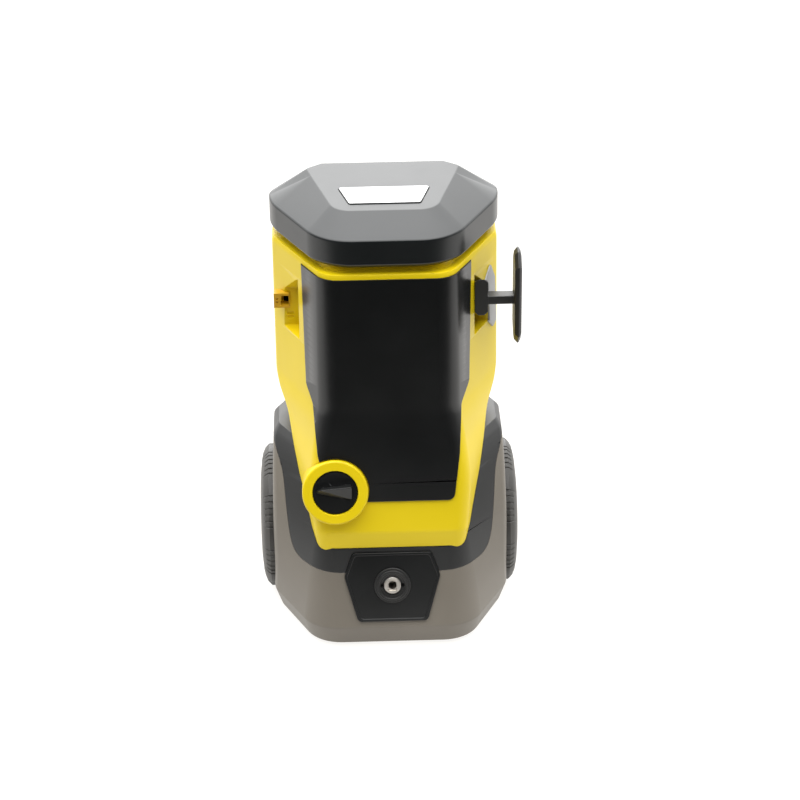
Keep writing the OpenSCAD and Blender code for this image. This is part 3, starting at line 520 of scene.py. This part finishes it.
def smooth_line(points, step=0.25):
    """Open curve through points, closer together."""
    out = []
    n = len(points)
    for i in range(n - 1):
        p0, p1 = Vector(points[max(i - 1, 0)]), Vector(points[i])
        p2, p3 = Vector(points[i + 1]), Vector(points[min(i + 2, n - 1)])
        m1, m2 = (p2 - p0) / 2, (p3 - p1) / 2
        t = 0.0
        while t < 0.999:
            h00, h10 = 2 * t**3 - 3 * t**2 + 1, t**3 - 2 * t**2 + t
            out.append(tuple(p1 * h00 + m1 * h10 + p2 * (-2 * t**3 + 3 * t**2) + m2 * (t**3 - t**2)))
            t += step
    out.append(tuple(points[-1]))
    return out


def grey_outline():
    half = [(60, 95), (98, 99), (107, 102), (113, 109), (117, 124), (120, 150), (123.5, 183), (130, 200),
            (HALF_BASE - 2, 210), (HALF_BASE + 9, 220)]
    half = [(0, 95), (40, 95)] + smooth_line(half)
    left = [(-x, z) for x, z in half[1:]]
    return [(HALF_BASE + 20, -20), (HALF_BASE + 20, 220)] + half[::-1] + left + [(-HALF_BASE - 20, 220),
                                                                              (-HALF_BASE - 20, -20)]


def tongue_outline(g=0.0):
    half = [(0, 123), (62, 123), (75 + g, 125.5 - g), (83.5 + g, 133), (89.5 + g, 155), (95 + g, 186),
            (99.5 + g, 207), (102.5 + g, 215), (113 + g, 229), (130 + g, 250)]
    return both_sides(half)


def panel_outline():
    top = LIP_Z - 5.03
    pts = [(-70, 182), (72, 182), (79, 236), (82, 288), (92, 305), (95, top), (-95, top), (-93, 305),
           (-86, 288), (-82, 236)]
    return rounded(pts, [6, 8, 30, 12, 12, 0, 0, 12, 12, 30], 6)


def front_prism(outline, y0=-300, y1=300):
    return prism("front_cut", outline, -y1, -y0, FRONT)


def wells(r, x0, x1):
    return [rod("well", r, x0, x1, AXLE, 128), rod("well", r, -x1, -x0, AXLE, 128)]


BEZEL_T, BEZEL_PROUD, OUTLET_D, NIPPLE_D = 5.0, 2.5, 42.0, 19.6


def bezel_outline(g=0.0):
    pts = [(-40 + g, -43 + g), (40 - g, -43 + g), (55 - g, 11),
           (45 - g * 0.8, 39 - g), (-45 + g * 0.8, 39 - g), (-55 + g, 11)]
    return rounded(pts, [6, 6, 9, 5, 5, 9], 6)


def bezel_blank(g=0.0):
    return prism("bezel_cut", bezel_outline(-g), BEZEL_PROUD - BEZEL_T, BEZEL_PROUD + 20, OUTLET)


COLLAR_D, COLLAR_DEPTH, KNOB_D = 75.0, 30.0, 51.0


def collar_blank(g=0.0):
    r = COLLAR_D / 2 + g
    side = [(-r - 1, -r - 1), (-20, -r - 1), (-20, r + 1), (-r - 1, r + 1)]
    deep = boolean(rod("deep", r, -60, 20, SWITCH), prism("half", side, -70, 30, SWITCH), "INTERSECT")
    return [rod("collar_cut", r, -COLLAR_DEPTH, 20, SWITCH), deep]


def collar_bore():
    """Cut for the collar right through the shoulder, a hair wider so that no faces coincide."""
    return rod("collar_cut", COLLAR_D / 2 + 0.05, -60, 21, SWITCH, 120)


def rear_holes():
    holes = [(11, INLET_AT), (7, PORT_AT), (8, GLAND_AT)]
    return [rod("hole", r, -10, 10, at_rear(*where), 48) for r, where in holes]


def outlet_well():
    return rod("well", OUTLET_D / 2, -18, 6, OUTLET)


# ---------------------------------------------------------------- lower shells
def lower_shell():
    cavity = boolean(lower_form(WALL), wells(WHEEL_R + WELL_GAP + WALL, WELL_X - WALL, BASE_W))
    return boolean(boolean(lower_form(), cavity), wells(WHEEL_R + WELL_GAP, WELL_X, BASE_W))


shell = lower_shell()
base = boolean(copy_of(shell, "base_skin"), front_prism(grey_outline()), "INTERSECT")
boolean(base, [bezel_blank(), outlet_well(), rod("axle", AXLE_D / 2, -BASE_W, BASE_W, AXLE, 48)])
boolean(base, rear_holes())
boolean(base, [rod("foot", 5, 0, 20, place(x, FOOT_Y, 0), 32) for x in (-FOOT_X, FOOT_X)])
dress(soften(base, 0.7), "grey_shell", "machine", "base_shell")

shell.name = "shoulder_skin"
boolean(shell, front_prism(grey_outline()))
boolean(shell, front_prism(tongue_outline(0.3), -300, -20))
boolean(shell, upper_form())
boolean(shell, [bezel_blank(), outlet_well()])
boolean(shell, collar_bore())
boolean(shell, rear_holes())
dress(soften(shell, 0.8), "black_shell", "machine", "shoulder_frame")

# ---------------------------------------------------------------- upper housing
RECESS_Z, RECESS_H, RECESS_X, RECESS_Y = LIP_Z - 74.5, 47.0, HALF_BODY - 29, -14.0


def side_recess(g=0.0):
    h = RECESS_H / 2
    pts = [(RECESS_Y - 40, RECESS_Z + h + 34 + g), (RECESS_Y + g, RECESS_Z + h + g),
           (RECESS_Y + g, RECESS_Z - h - g), (RECESS_Y - 40, RECESS_Z - h - 2 - g)]
    right = prism("recess", pts, RECESS_X - g, RECESS_X + 60, SIDE)
    return [right, mirror_x(right, "recess_left")]


BOSSES = [(s * (HALF_BODY - 10 - (15 if z < SHOULDER_Z else 0)), z)
          for z in (215, 320, LIP_Z - 30) for s in (-1, 1)]


def housing():
    outer = boolean(upper_form(), side_recess())
    boolean(outer, neck_form(), "UNION")
    inner = boolean(upper_form(WALL), side_recess(WALL))
    boolean(outer, inner)
    return boolean(outer, neck_form(WALL))


whole = housing()
front = copy_of(whole, "front_housing_skin")
boolean(front, block("half", -300, 300, -300, SPLIT_Y, 0, 700), "INTERSECT")
boolean(front, block("skirt", -300, 300, -58, 242, 0, 192))
boolean(front, collar_blank())
CATCH = place(-RECESS_X - 19.5, RECESS_Y, RECESS_Z + 9)
boolean(front, block("catch_cut", -9, 9, -40, 8, -9, 9, CATCH))
boolean(front, [block("clip", -112.5, -105.0, -20, -12.4, z, z + 3.2) for z in (360.5, 365.5)])
dress(soften(front, 0.9), "yellow_shell", "machine", "front_housing")

whole.name = "rear_housing_skin"
boolean(whole, block("half", -300, 300, SPLIT_Y, 360, 192, 700), "INTERSECT")
for bx, bz in BOSSES:
    ear = boolean(upper_form(), rod("ear", 6, 0, 12, at_rear(bx, bz, SPLIT_Y), 32), "INTERSECT")
    boolean(whole, ear, "UNION")
    boolean(whole, rod("bore", 3.8, 6, 36, at_rear(bx, bz, SPLIT_Y), 32))
dress(soften(whole, 0.9), "black_shell", "machine", "rear_housing")

# ---------------------------------------------------------------- front panel
panel = boolean(upper_form(-2.0, False), front_prism(panel_outline(), -300, -20), "INTERSECT")
panel.name = "front_panel_skin"
boolean(panel, upper_form())
boolean(panel, collar_blank(1.0))
dress(soften(panel, 0.5, angle=50), "gloss_black", "machine", "front_panel")

# ---------------------------------------------------------------- lid
def lid_section(z, g, t=0.0):
    xf, yf, xs = 72 + 0.6 * (g - t), -95 - g + t, HALF_BODY + 2 + g - t
    xb, yb, r = 71 + 0.5 * (g - t), 119 + g - t, 58 - 0.6 * t
    pts = [(-xf, yf), (xf, yf), (xs, 20), (xs, 48), (xb, yb), (-xb, yb), (-xs, 48), (-xs, 20)]
    return [(x, y, z) for x, y in rounded(pts, [r, r, 80, 18, 18, 18, 18, 80], 12)]


def lid_top_ring(t=0.0):
    pts = [(-56, TOP_Y), (56, TOP_Y), (82, 46), (87, 66), (70, 78), (-70, 78), (-87, 66), (-82, 46)]
    outline = rounded(pts, [24, 24, 14, 5, 5, 5, 5, 14], 12)
    return [(x, y, TOP_Z + TOP_SLOPE * (y - TOP_Y) - t) for x, y in outline]


def lid_form(t=0.0):
    z0 = LID_RIM_Z - 1 if t > 0 else LID_RIM_Z
    rings = [lid_section(z0, -4, t), lid_section(LID_RIM_Z + 4, 0, t)]
    rings += [lid_section(LID_EDGE_Z - t, 0, t), lid_top_ring(t)]
    if t <= 0:
        inner = [(x * 0.9, y * 0.9 + 1, z + TOP_SLOPE * (y * 0.9 + 1 - y)) for x, y, z in rings[3]]
        rings.append(inner)
        rings = round_rings(rings, 3, 1.2)
        edge = list(zip(rings[2], rings[3]))
        slope = [[tuple(Vector(a) * (1 - f) + Vector(b) * f) for a, b in edge] for f in (0.25, 0.5, 0.75)]
        rings = rings[:3] + slope + rings[3:]
        rings = round_rings(rings, 2, 2.2)
        rings = round_rings(rings, 1, 1.5)
    return loft("lid", rings)


TILT = Matrix.Rotation(math.atan(TOP_SLOPE), 4, "X")
PLATE = Matrix.Translation((0, TOP_Y, TOP_Z)) @ TILT @ Matrix.Translation((0, -TOP_Y, 0))


def plate_outline(g=0.0, r=3.0):
    pts = [(-40 - g * 0.6, -30 - g), (40 + g * 0.6, -30 - g), (52 + g * 1.3, 12 + g), (-52 - g * 1.3, 12 + g)]
    return rounded(pts, r, 5)


lid = lid_form()
lid.name = "lid_skin"
hollow = lid_form(WALL)
boolean(hollow, block("rim", -300, 300, -300, 300, LID_RIM_Z - 5, LID_RIM_Z + 4))
boolean(lid, hollow)
boolean(lid, neck_form())
boolean(lid, prism("plate_cut", plate_outline(0.2), -1.2, 5, PLATE))
dress(soften(lid, 0.5, angle=40), "slate_lid", "machine", "top_lid")

carrier = soften(prism("badge_carrier", plate_outline(-0.1), -1.1, 0.9, PLATE), 0.3)
dress(carrier, "gloss_black", "machine")
badge_levels = [(-0.9, 0.7), (-0.9, 1.15), (-1.3, 1.35)]
badge = loft("badge_face", [[(x, y, z) for x, y in plate_outline(g, 2.6)] for g, z in badge_levels], PLATE)
dress(soften(badge, 0), "badge", "machine", "nameplate")

# ---------------------------------------------------------------- rotary switch
r0, r1 = KNOB_D / 2 + 0.4, COLLAR_D / 2
profile = [(4.05, -COLLAR_DEPTH), (r1, -COLLAR_DEPTH)]
profile += [(r1 - 2.6 + 2.6 * math.cos(rad(a)), -2.6 + 2.6 * math.sin(rad(a)) - 0.1)
            for a in range(0, 91, 15)]
profile += [(r0 + 0.7 - 0.7 * math.sin(rad(a)), -0.8 - 0.1 + 0.8 * math.cos(rad(a)))
            for a in range(0, 91, 30)]
profile += [(r0, -14), (4.05, -14)]
collar = lathe("switch_collar_skin", profile, SWITCH, 144)
skirt = boolean(lathe("skirt", [(r1 - 3, -60), (r1, -60), (r1, -28), (r1 - 3, -28)], SWITCH, 144),
                prism("half", [(-60, -60), (-20, -60), (-20, 60), (-60, 60)], -70, 30, SWITCH), "INTERSECT")
boolean(collar, skirt, "UNION")
dress(soften(collar, 0), "yellow_shell", "machine", "switch_collar")


def hull_of(name, points, at=None):
    bm = bmesh.new()
    for p in points:
        bm.verts.new(p)
    out = bmesh.ops.convex_hull(bm, input=bm.verts)
    bmesh.ops.delete(bm, geom=out["geom_interior"] + out["geom_unused"], context="VERTS")
    bmesh.ops.dissolve_limit(bm, angle_limit=rad(1), verts=bm.verts, edges=bm.edges)
    bm.verts.index_update()
    verts = [v.co.copy() for v in bm.verts]
    faces = [[v.index for v in f.verts] for f in bm.faces]
    bm.free()
    return make(name, verts, faces, at)


rk = KNOB_D / 2
profile = [(0, -13), (rk, -13), (rk, -3.9)]
profile += [(rk - 0.9 + 0.9 * math.cos(rad(a)), -3.9 + 0.9 * math.sin(rad(a))) for a in (30, 60, 90)]
profile += [(rk - 3.2, -3.0), (rk - 3.6, -3.5), (rk * 0.6, -3.8), (rk * 0.3, -3.9), (0, -3.9)]
knob = lathe("switch_knob_skin", profile, SWITCH, 144)
wedge_corners = [(-22.8, 0.5, -4.2), (-21.2, 3.0, -2.0), (-19.6, 3.8, 1.5), (-15.7, 4.6, 3.2),
                 (18, 8.0, 5.9), (18.4, 9.4, -4.2), (18.8, -7.9, -4.2), (18.4, -8.4, -1.6),
                 (18.8, 7.0, 5.7), (-14.6, 5.6, -4.2), (-19, -1.4, -4.2), (-18.5, -1.0, -2.4)]
wedge = hull_of("wedge", wedge_corners, SWITCH)
wedge = soften(wedge, 0.8, angle=12, segments=3)
boolean(knob, wedge, "UNION")
boolean(knob, rod("bore", 4, -14, -7, SWITCH, 48))
dress(soften(knob, 0), "gloss_black", "power_switch", "switch_knob")

# ---------------------------------------------------------------- water outlet
bezel = prism("outlet_bezel_skin", bezel_outline(), BEZEL_PROUD - BEZEL_T, BEZEL_PROUD, OUTLET)
boolean(bezel, prism("dish", bezel_outline(3.0), BEZEL_PROUD - 0.9, 20, OUTLET))
boolean(bezel, rod("well", OUTLET_D / 2, -10, 10, OUTLET))
dress(soften(bezel, 0.5, segments=3), "gloss_black", "machine", "outlet_bezel")

ro = OUTLET_D / 2
steps_profile = [(NIPPLE_D / 2, -9), (ro, -9), (ro, 2.9), (ro - 0.6, 3.5), (ro - 2.6, 3.5), (ro - 2.9, 4.6),
                 (ro - 3.4, 5.0), (ro - 5.4, 5.0), (ro - 5.9, 4.5), (ro - 6.1, 2.6), (ro - 8.2, 2.4),
                 (ro - 8.5, 1.2), (NIPPLE_D / 2, 1.0)]
socket = lathe("outlet_socket_skin", steps_profile, OUTLET, 144)
boolean(socket, [block("notch", NIPPLE_D / 2 - 1, NIPPLE_D / 2 + 4, -2.5, 2.5, -3, 7, OUTLET),
                 block("notch", -NIPPLE_D / 2 - 4, -NIPPLE_D / 2 + 1, -2.5, 2.5, -3, 7, OUTLET)])
dress(soften(socket, 0.25), "socket_grey", "machine", "outlet_socket")

rn = NIPPLE_D / 2 - 0.02
profile = [(4.8, -26), (rn, -26), (rn, 2.4), (rn - 0.6, 3.0), (4.8, 3.0)]
nipple = lathe("outlet_nipple_skin", profile, OUTLET, 96)
mouth = rounded([(-4.9, -6.5), (4.9, -6.5), (4.9, 6.5), (-4.9, 6.5)], 2.2, 5)
boolean(nipple, prism("mouth", mouth, 0.4, 9, OUTLET))
flats = [(12.8 * math.cos(rad(a)), 12.8 * math.sin(rad(a))) for a in range(0, 360, 60)]
boolean(nipple, prism("hex", flats, -26, -18, OUTLET), "UNION")
boolean(nipple, rod("bore", 4.8, -30, 20, OUTLET, 48))
dress(soften(nipple, 0.3), "nickel", "machine", "outlet_nipple")

# ---------------------------------------------------------------- hook and empty socket
HOOK_Z, HOOK_Y, HOOK_W, PLATE_X = RECESS_Z + 15.5, -35.0, 15.0, HALF_BODY + 16


def octagon(w, h, c):
    w, h = w / 2, h / 2
    return [(-w, -h + c), (-w + c, -h), (w - c, -h), (w, -h + c),
            (w, h - c), (w - c, h), (-w + c, h), (-w, h - c)]


x0, block_y = RECESS_X + 0.3, HOOK_Y - 10
hook_at = place(x0 + HOOK_W / 2, RECESS_Y, HOOK_Z + 4.5, rx=90)
hook = prism("hook_skin", octagon(HOOK_W, 45, 4), 0, RECESS_Y - block_y, hook_at)
taper = [(RECESS_Y + 1, HOOK_Z - 18), (RECESS_Y + 1, HOOK_Z + 6.4),
         (block_y - 1, HOOK_Z + 27.6), (block_y - 1, HOOK_Z - 18)]
boolean(hook, prism("taper", taper, x0 - 1, x0 + HOOK_W + 1, SIDE), "INTERSECT")
stem = block("stem", RECESS_X + HOOK_W - 1, PLATE_X + 1, HOOK_Y - 9, HOOK_Y + 6, HOOK_Z - 5, HOOK_Z + 5)
boolean(hook, stem, "UNION")
plate_at = place(PLATE_X, HOOK_Y, HOOK_Z + 2) @ SIDE
plate_levels = [(38, 105, 12.6, 0), (43.4, 113.2, 13.8, 3.9), (44, 114, 14, 4.6),
                (43.4, 113.2, 13.8, 5.3), (37, 104, 12.4, 8)]
plate_rings = [[(x, y, z) for x, y in octagon(w, h, c)] for w, h, c, z in plate_levels]
plate = loft("hook_plate", plate_rings, plate_at)
boolean(hook, plate, "UNION")
dress(soften(hook, 0.9, angle=25, segments=3), "black_shell", "machine", "accessory_hook")

pad = boolean(boolean(upper_form(-2.0), upper_form()), side_recess())
pad_pts = [(-24, -31), (-24, 10), (-6, 27), (3, 8), (3, -47), (-6, -51)]
pad_cut = prism("pad_cut", [(y, HOOK_Z + z) for y, z in pad_pts], RECESS_X, RECESS_X + 60, SIDE)
boolean(pad, pad_cut, "INTERSECT")
pad.name = "hook_pad_skin"
dress(soften(pad, 0.5), "pad_grey", "machine", "hook_pad")

catch = block("catch_skin", -9, 9, -4, 8, -9, 9, CATCH)
boolean(catch, block("hole", -1, 8, -20, 20, -6, 6, CATCH))
boolean(catch, [block("slot", -6.4, -3.8, -6, -2.6, z, z + 1.8, CATCH) for z in (-2.9, 1.2)])
dress(soften(catch, 0.25), "catch_orange", "machine", "accessory_catch")

# ---------------------------------------------------------------- wheels
TYRE_IN, DOME = WHEEL_R - 19, 11.5
GROUPS, LADDER, RUNGS = 8, 26.0, 5


def tread_height(x, angle):
    """Grooves of the ladder blocks round the tread: an outline with rungs in it."""
    a = angle % (360 / GROUPS)
    if a > LADDER or not TREAD_IN + 6 < x < TREAD_OUT + 7.5:
        return 0.0
    rung = a / LADDER * RUNGS % 1.0
    at_end = min(a, LADDER - a) < 0.9
    side = x > TREAD_OUT + 6.5 or x < TREAD_IN + 7.5
    on_rung = min(rung, 1 - rung) < 0.13 and TREAD_IN + 9 < x < TREAD_OUT + 4.8
    return -1.1 if at_end or side or on_rung else 0.0


def tyre(name):
    xs = [TREAD_IN + 4 + i * 1.0 for i in range(int(TREAD_W - 4) + 1)]
    outer = [(WHEEL_R - 4, TREAD_IN), (WHEEL_R - 1.2, TREAD_IN + 1.0)] + [(WHEEL_R, x) for x in xs]
    outer += [(WHEEL_R - 1.6, TREAD_OUT + 1.7), (WHEEL_R - 3.4, TREAD_OUT + 3.4),
              (WHEEL_R - 5.4, TREAD_OUT + 5.1), (WHEEL_R - 9, TREAD_OUT + 6.9),
              (WHEEL_R - 13, TREAD_OUT + 7.9), (WHEEL_R - 16, TREAD_OUT + 8.5),
              (TYRE_IN + 1, TREAD_OUT + 8.95), (TYRE_IN, TREAD_OUT + 8.4), (TYRE_IN, TREAD_IN)]
    steps = 600
    n = len(outer)
    verts, faces = [], []
    for k in range(steps):
        angle = 360 * k / steps
        for r, x in outer:
            if r > WHEEL_R - 10 and TREAD_IN + 4 <= x:
                r += tread_height(x, angle)
            verts.append((r * math.cos(rad(angle)), r * math.sin(rad(angle)), x))
    for k in range(steps):
        here, ahead = k * n, (k + 1) % steps * n
        for i in range(n):
            faces.append((here + i, here + (i + 1) % n, ahead + (i + 1) % n, ahead + i))
    return soften(make(name, verts, faces, AXLE), 0, smooth=38)


def hub_cap(name):
    b = TREAD_OUT + DOME * 0.4
    r = TYRE_IN
    profile = [(0, b + 4), (r - 8, b + 4), (r - 8, b), (r - 0.2, b)]
    face = [(r - 0.2, 8.4), (r - 1.2, 9.0), (58, 9.9), (52.2, 10.55), (51.6, 9.7), (50.2, 9.7), (49.6, 10.7),
            (36, 11.15), (24.0, 11.3), (23.4, 10.3), (21.6, 10.3), (21, 11.35), (10, 11.5), (0, 11.5)]
    profile += [(radius, TREAD_OUT + proud) for radius, proud in face]
    cap = lathe(name, profile, AXLE, 144)
    slots = []
    for a in range(0, 360, 60):
        turn = AXLE @ Matrix.Rotation(rad(a + 30), 4, "Z")
        pts = rounded([(28, -8), (46, -13), (46, 13), (28, 8)], 3.5, 5)
        slots.append(loft("slot", [[(x * f + c, y * f, z) for x, y in pts] for f, c, z in
                                   ((0.94, 2.2, TREAD_OUT + 9.6), (1.0, 0, TREAD_OUT + 14))], turn))
    boolean(cap, slots)
    return soften(cap, 0.5, angle=32, smooth=28)


right_tyre = tyre("right_tyre_skin")
left_tyre = mirror_x(right_tyre, "left_tyre_skin")
dress(right_tyre, "tyre_tread", "right_wheel_body", "right_tyre")
dress(left_tyre, "tyre_tread", "left_wheel_body", "left_tyre")
right_cap = hub_cap("right_hub_cap_skin")
left_cap = mirror_x(right_cap, "left_hub_cap_skin")
dress(right_cap, "wheel_plastic", "right_wheel_body", "right_hub_cap")
dress(left_cap, "wheel_plastic", "left_wheel_body", "left_hub_cap")

# ---------------------------------------------------------------- telescopic handle
GUIDE_W, GUIDE_TOP = 28.0, BODY_H - 86
GRIP_TOP = GUIDE_TOP + 50
grip_at = place(0, TUBE_Y, GRIP_TOP - 11, ry=90)
half_grip = TUBE_X + 13
profile = [(0, -half_grip)]
for i in range(7):
    a = rad(90 - 15 * i)
    profile.append((11 - 4.5 + 4.5 * math.cos(a), -half_grip + 4.5 - 4.5 * math.sin(a)))
profile += [(r, -z) for r, z in reversed(profile[1:])] + [(0, half_grip)]
grip = lathe("grip_skin", profile, grip_at, 64)
leg_levels = [(12.2, 0), (13, 1.2), (13, 22), (12.4, 30), (10.5, 36)]
leg_rings = [[(r * math.cos(rad(a)), r * math.sin(rad(a)), z) for a in range(0, 360, 6)]
             for r, z in leg_levels]
for s in (-1, 1):
    leg_at = place(s * TUBE_X, TUBE_Y, GUIDE_TOP)
    boolean(grip, loft("leg", leg_rings, leg_at), "UNION")
    boolean(grip, rod("bore", TUBE_D / 2, -1, 29, leg_at, 48))
boolean(grip, block("button_cut", -17.3, 17.3, TUBE_Y - 6.3, TUBE_Y + 6.3, GRIP_TOP - 13, GRIP_TOP + 8))
dress(soften(grip, 0.7), "rubber", "handle", "handle_grip")

button_at = place(0, TUBE_Y, GRIP_TOP - 13 + 8)
button = prism("button_skin", rounded([(-17, -6), (17, -6), (17, 6), (-17, 6)], 2, 4), 0, 7, button_at)
top = prism("pad", rounded([(-15, -4), (15, -4), (15, 4), (-15, 4)], 2, 4), 6, 8, button_at)
boolean(button, top, "UNION")
boolean(button, [block("rib", x - 0.5, x + 0.5, -3.2, 3.2, 7.5, 9, button_at) for x in range(-12, 13, 4)])
dress(soften(button, 0.4), "socket_grey", "handle_button", "release_button")

# ---------------------------------------------------------------- back of the machine
guides = []
for s in (-1, 1):
    x0 = s * TUBE_X
    outline = rounded([(-14, 0), (14, 0), (14, 30), (-14, 30)], [0.5, 0.5, 6, 6], 6)
    rail = prism("rail", outline, SHOULDER_Z + 4, GUIDE_TOP, place(x0, REAR_Y, 0))
    x_in = s * (TUBE_X - GUIDE_W / 2 - 5)
    for z in (SHOULDER_Z + 24, GUIDE_TOP - 24):
        boolean(rail, block("ear", x_in - 7, x_in + 7, REAR_Y, REAR_Y + 4, z - 8, z + 8), "UNION")
        boolean(rail, rod("bore", 2, -1, 9, at_rear(s * (TUBE_X - GUIDE_W / 2 - 6), z, REAR_Y), 32))
    boolean(rail, rod("tube_bore", TUBE_D / 2 + 0.3, 0, BODY_H, place(x0, TUBE_Y, 0), 64))
    rail_at = place(x0, REAR_Y, 0)
    boolean(rail, [block("groove", -16, 16, 29.2, 31, z, z + 2, rail_at) for z in range(262, 400, 22)])
    guides.append(rail)
dress(soften(join("guides_skin", guides), 0.8), "black_shell", "machine", "handle_guides")

brackets = []
for s in (-1, 1):
    outline = rounded([(-14, 0), (14, 0), (14, 22), (-14, 22)], [0.5, 0.5, 6, 6], 6)
    b = prism("bracket", outline, 76, 106, place(s * TUBE_X, BASE_REAR_Y, 0))
    boolean(b, rod("tube_bore", TUBE_D / 2 + 0.3, 0, BODY_H, place(s * TUBE_X, TUBE_Y, 0), 64))
    brackets.append(b)
dress(soften(join("brackets_skin", brackets), 0.8), "black_shell", "machine", "tube_brackets")

LANCE_X, LANCE_Y, LANCE_Z, HOLDER_H = 88, 141.6, 40, 26
holders = []
for s in (-1, 1):
    holder_at = place(s * LANCE_X, LANCE_Y, LANCE_Z)
    h = rod("holder", 16, 0, HOLDER_H, holder_at, 96, soft=1.0)
    x_in, x_out = sorted((s * (LANCE_X - 10), s * (LANCE_X + 6)))
    arm_ys, arm_zs = (BASE_REAR_Y - 14, BASE_REAR_Y + 10), (LANCE_Z, LANCE_Z + HOLDER_H)
    boolean(h, block("arm", x_in, x_out, *arm_ys, *arm_zs), "UNION")
    boolean(h, rod("bore", 13, -1, HOLDER_H + 2, holder_at, 96))
    boolean(h, lower_form())
    holders.append(h)
dress(soften(join("lance_holders_skin", holders), 0.7), "black_shell", "machine", "lance_holders")

profile = [(7, -14), (11, -14), (11, 0), (16.4, 0), (17, 0.6), (17, 4.4), (16.4, 5), (12.2, 5)]
for i in range(8):
    z = 5.8 + i * 1.95
    profile += [(12.2, z), (13.2, z + 0.8), (13.2, z + 1.05)]
profile += [(12.2, 21.6), (11.8, 22), (9.5, 22), (9.5, 3), (7, 3)]
inlet = lathe("water_inlet_skin", profile, at_rear(*INLET_AT), 96)
turns = [at_rear(*INLET_AT) @ Matrix.Rotation(rad(a), 4, "Z") for a in range(0, 360, 60)]
boolean(inlet, [block("flat", 16.0, 20, -20, 20, -0.5, 5.5, turn) for turn in turns])
dress(soften(inlet, 0.2), "inlet_black", "machine", "water_inlet")

profile = [(4, -14), (7, -14), (7, 0), (10.4, 0), (11, 0.6), (11, 3.4), (10.4, 4), (5.6, 4)]
for i in range(3):
    z = 5 + i * 3.4
    profile += [(5.6, z), (6.5, z + 0.4), (5.9, z + 3.0)]
profile += [(5.4, 16), (4, 16)]
port = lathe("detergent_port_skin", profile, at_rear(*PORT_AT), 72)
dress(soften(port, 0), "socket_grey", "machine", "detergent_port")

profile = [(4.2, -10), (8, -10), (8, 0), (11.4, 0), (12, 0.6), (12, 3.4), (11.4, 4), (9, 4)]
for i in range(5):
    z, r = 4.8 + i * 2.7, 8.9 - i * 0.5
    profile += [(r, z), (r - 0.2, z + 1.5), (r - 1.2, z + 1.7), (r - 1.3, z + 2.5)]
profile += [(6.3, 18), (4.2, 18)]
gland = lathe("cable_gland_skin", profile, at_rear(*GLAND_AT), 72)
dress(soften(gland, 0), "rubber", "machine", "cable_gland")

profile = [(0, 0), (12.0, 0), (12.8, 0.5), (13.6, 2.4), (14, 4.9), (14, 5), (5, 5), (5, 9), (0, 9)]
feet = [lathe("foot", profile, place(x, FOOT_Y, 0), 72) for x in (-FOOT_X, FOOT_X)]
dress(soften(join("front_feet_skin", feet), 0), "rubber", "machine", "front_feet")

# ---------------------------------------------------------------- stage, light, camera
floor = make("floor", [(-2500, -620, 0), (2500, -620, 0), (2500, 3500, 0), (-2500, 3500, 0)], [(0, 1, 2, 3)])
paper, nt, shader, coords = start_material("paper")
mottle = ramp(nt, noise(nt, coords, 3, 2), 0.3, 0.7)
pale = mix_colour(nt, mottle, (0.16, 0.155, 0.148), (0.17, 0.165, 0.158))
nt.links.new(pale, shader.inputs["Base Color"])
shader.inputs["Roughness"].default_value = 0.9
shader.inputs["Emission Color"].default_value = (1.0, 0.985, 0.96, 1)
shader.inputs["Emission Strength"].default_value = 0.90
floor.data.materials.append(paper)

world = bpy.data.worlds.new("studio")
scene.world = world
world.use_nodes = True
nt = world.node_tree
sky = nt.nodes["Background"]
out = nt.nodes["World Output"]
direction = nt.nodes.new("ShaderNodeTexCoord").outputs["Generated"]
split = nt.nodes.new("ShaderNodeSeparateXYZ")
nt.links.new(direction, split.inputs["Vector"])


def combine(how, a, b):
    m = nt.nodes.new("ShaderNodeMath")
    m.operation = how
    for socket, value in zip(m.inputs, (a, b)):
        if isinstance(value, float):
            socket.default_value = value
        else:
            nt.links.new(value, socket)
    return m.outputs[0]


overhead = ramp(nt, split.outputs["Z"], 0.60, 0.90, 0.0, 5.0)
off_axis = ramp(nt, combine("ABSOLUTE", split.outputs["X"], 0.0), 0.12, 0.50, 1.0, 0.42)
behind = combine("MULTIPLY", ramp(nt, split.outputs["Y"], 0.10, 0.60, 0.0, 5.0), off_axis)
right = ramp(nt, split.outputs["X"], 0.45, 0.90, 0.0, 0.6)
left = ramp(nt, split.outputs["X"], -0.90, -0.45, 0.45, 0.0)
sides = combine("ADD", combine("ADD", left, right), 0.05)
panels = combine("ADD", combine("MAXIMUM", overhead, behind), sides)
power = combine("MULTIPLY", panels, ramp(nt, split.outputs["Z"], -0.04, 0.04, 0.03, 1.0))
nt.links.new(power, sky.inputs["Strength"])
sky.inputs["Color"].default_value = (1.0, 1.0, 1.0, 1)
backdrop = nt.nodes.new("ShaderNodeBackground")
backdrop.inputs["Strength"].default_value = 1.1
pick = nt.nodes.new("ShaderNodeMixShader")
nt.links.new(nt.nodes.new("ShaderNodeLightPath").outputs["Is Camera Ray"], pick.inputs["Fac"])
nt.links.new(sky.outputs[0], pick.inputs[1])
nt.links.new(backdrop.outputs[0], pick.inputs[2])
nt.links.new(pick.outputs[0], out.inputs["Surface"])

target, distance = Vector((0.0138, -0.045, 0.2675)), 3.0
elevation, azimuth, roll = rad(28.0), rad(-1.5), rad(0.7)
back_dir = Vector((math.sin(azimuth) * math.cos(elevation), -math.cos(azimuth) * math.cos(elevation),
                   math.sin(elevation)))
lens = bpy.data.cameras.new("view")
lens.sensor_width = 36.0
lens.lens = 117.585
lens.clip_start = 0.05
eye = bpy.data.objects.new("view", lens)
scene.collection.objects.link(eye)
look = (-back_dir).to_track_quat("-Z", "Y").to_matrix().to_4x4()
eye.matrix_world = Matrix.Translation(target + back_dir * distance) @ look @ Matrix.Rotation(-roll, 4, "Z")
scene.camera = eye
scene.view_settings.view_transform = "Standard"
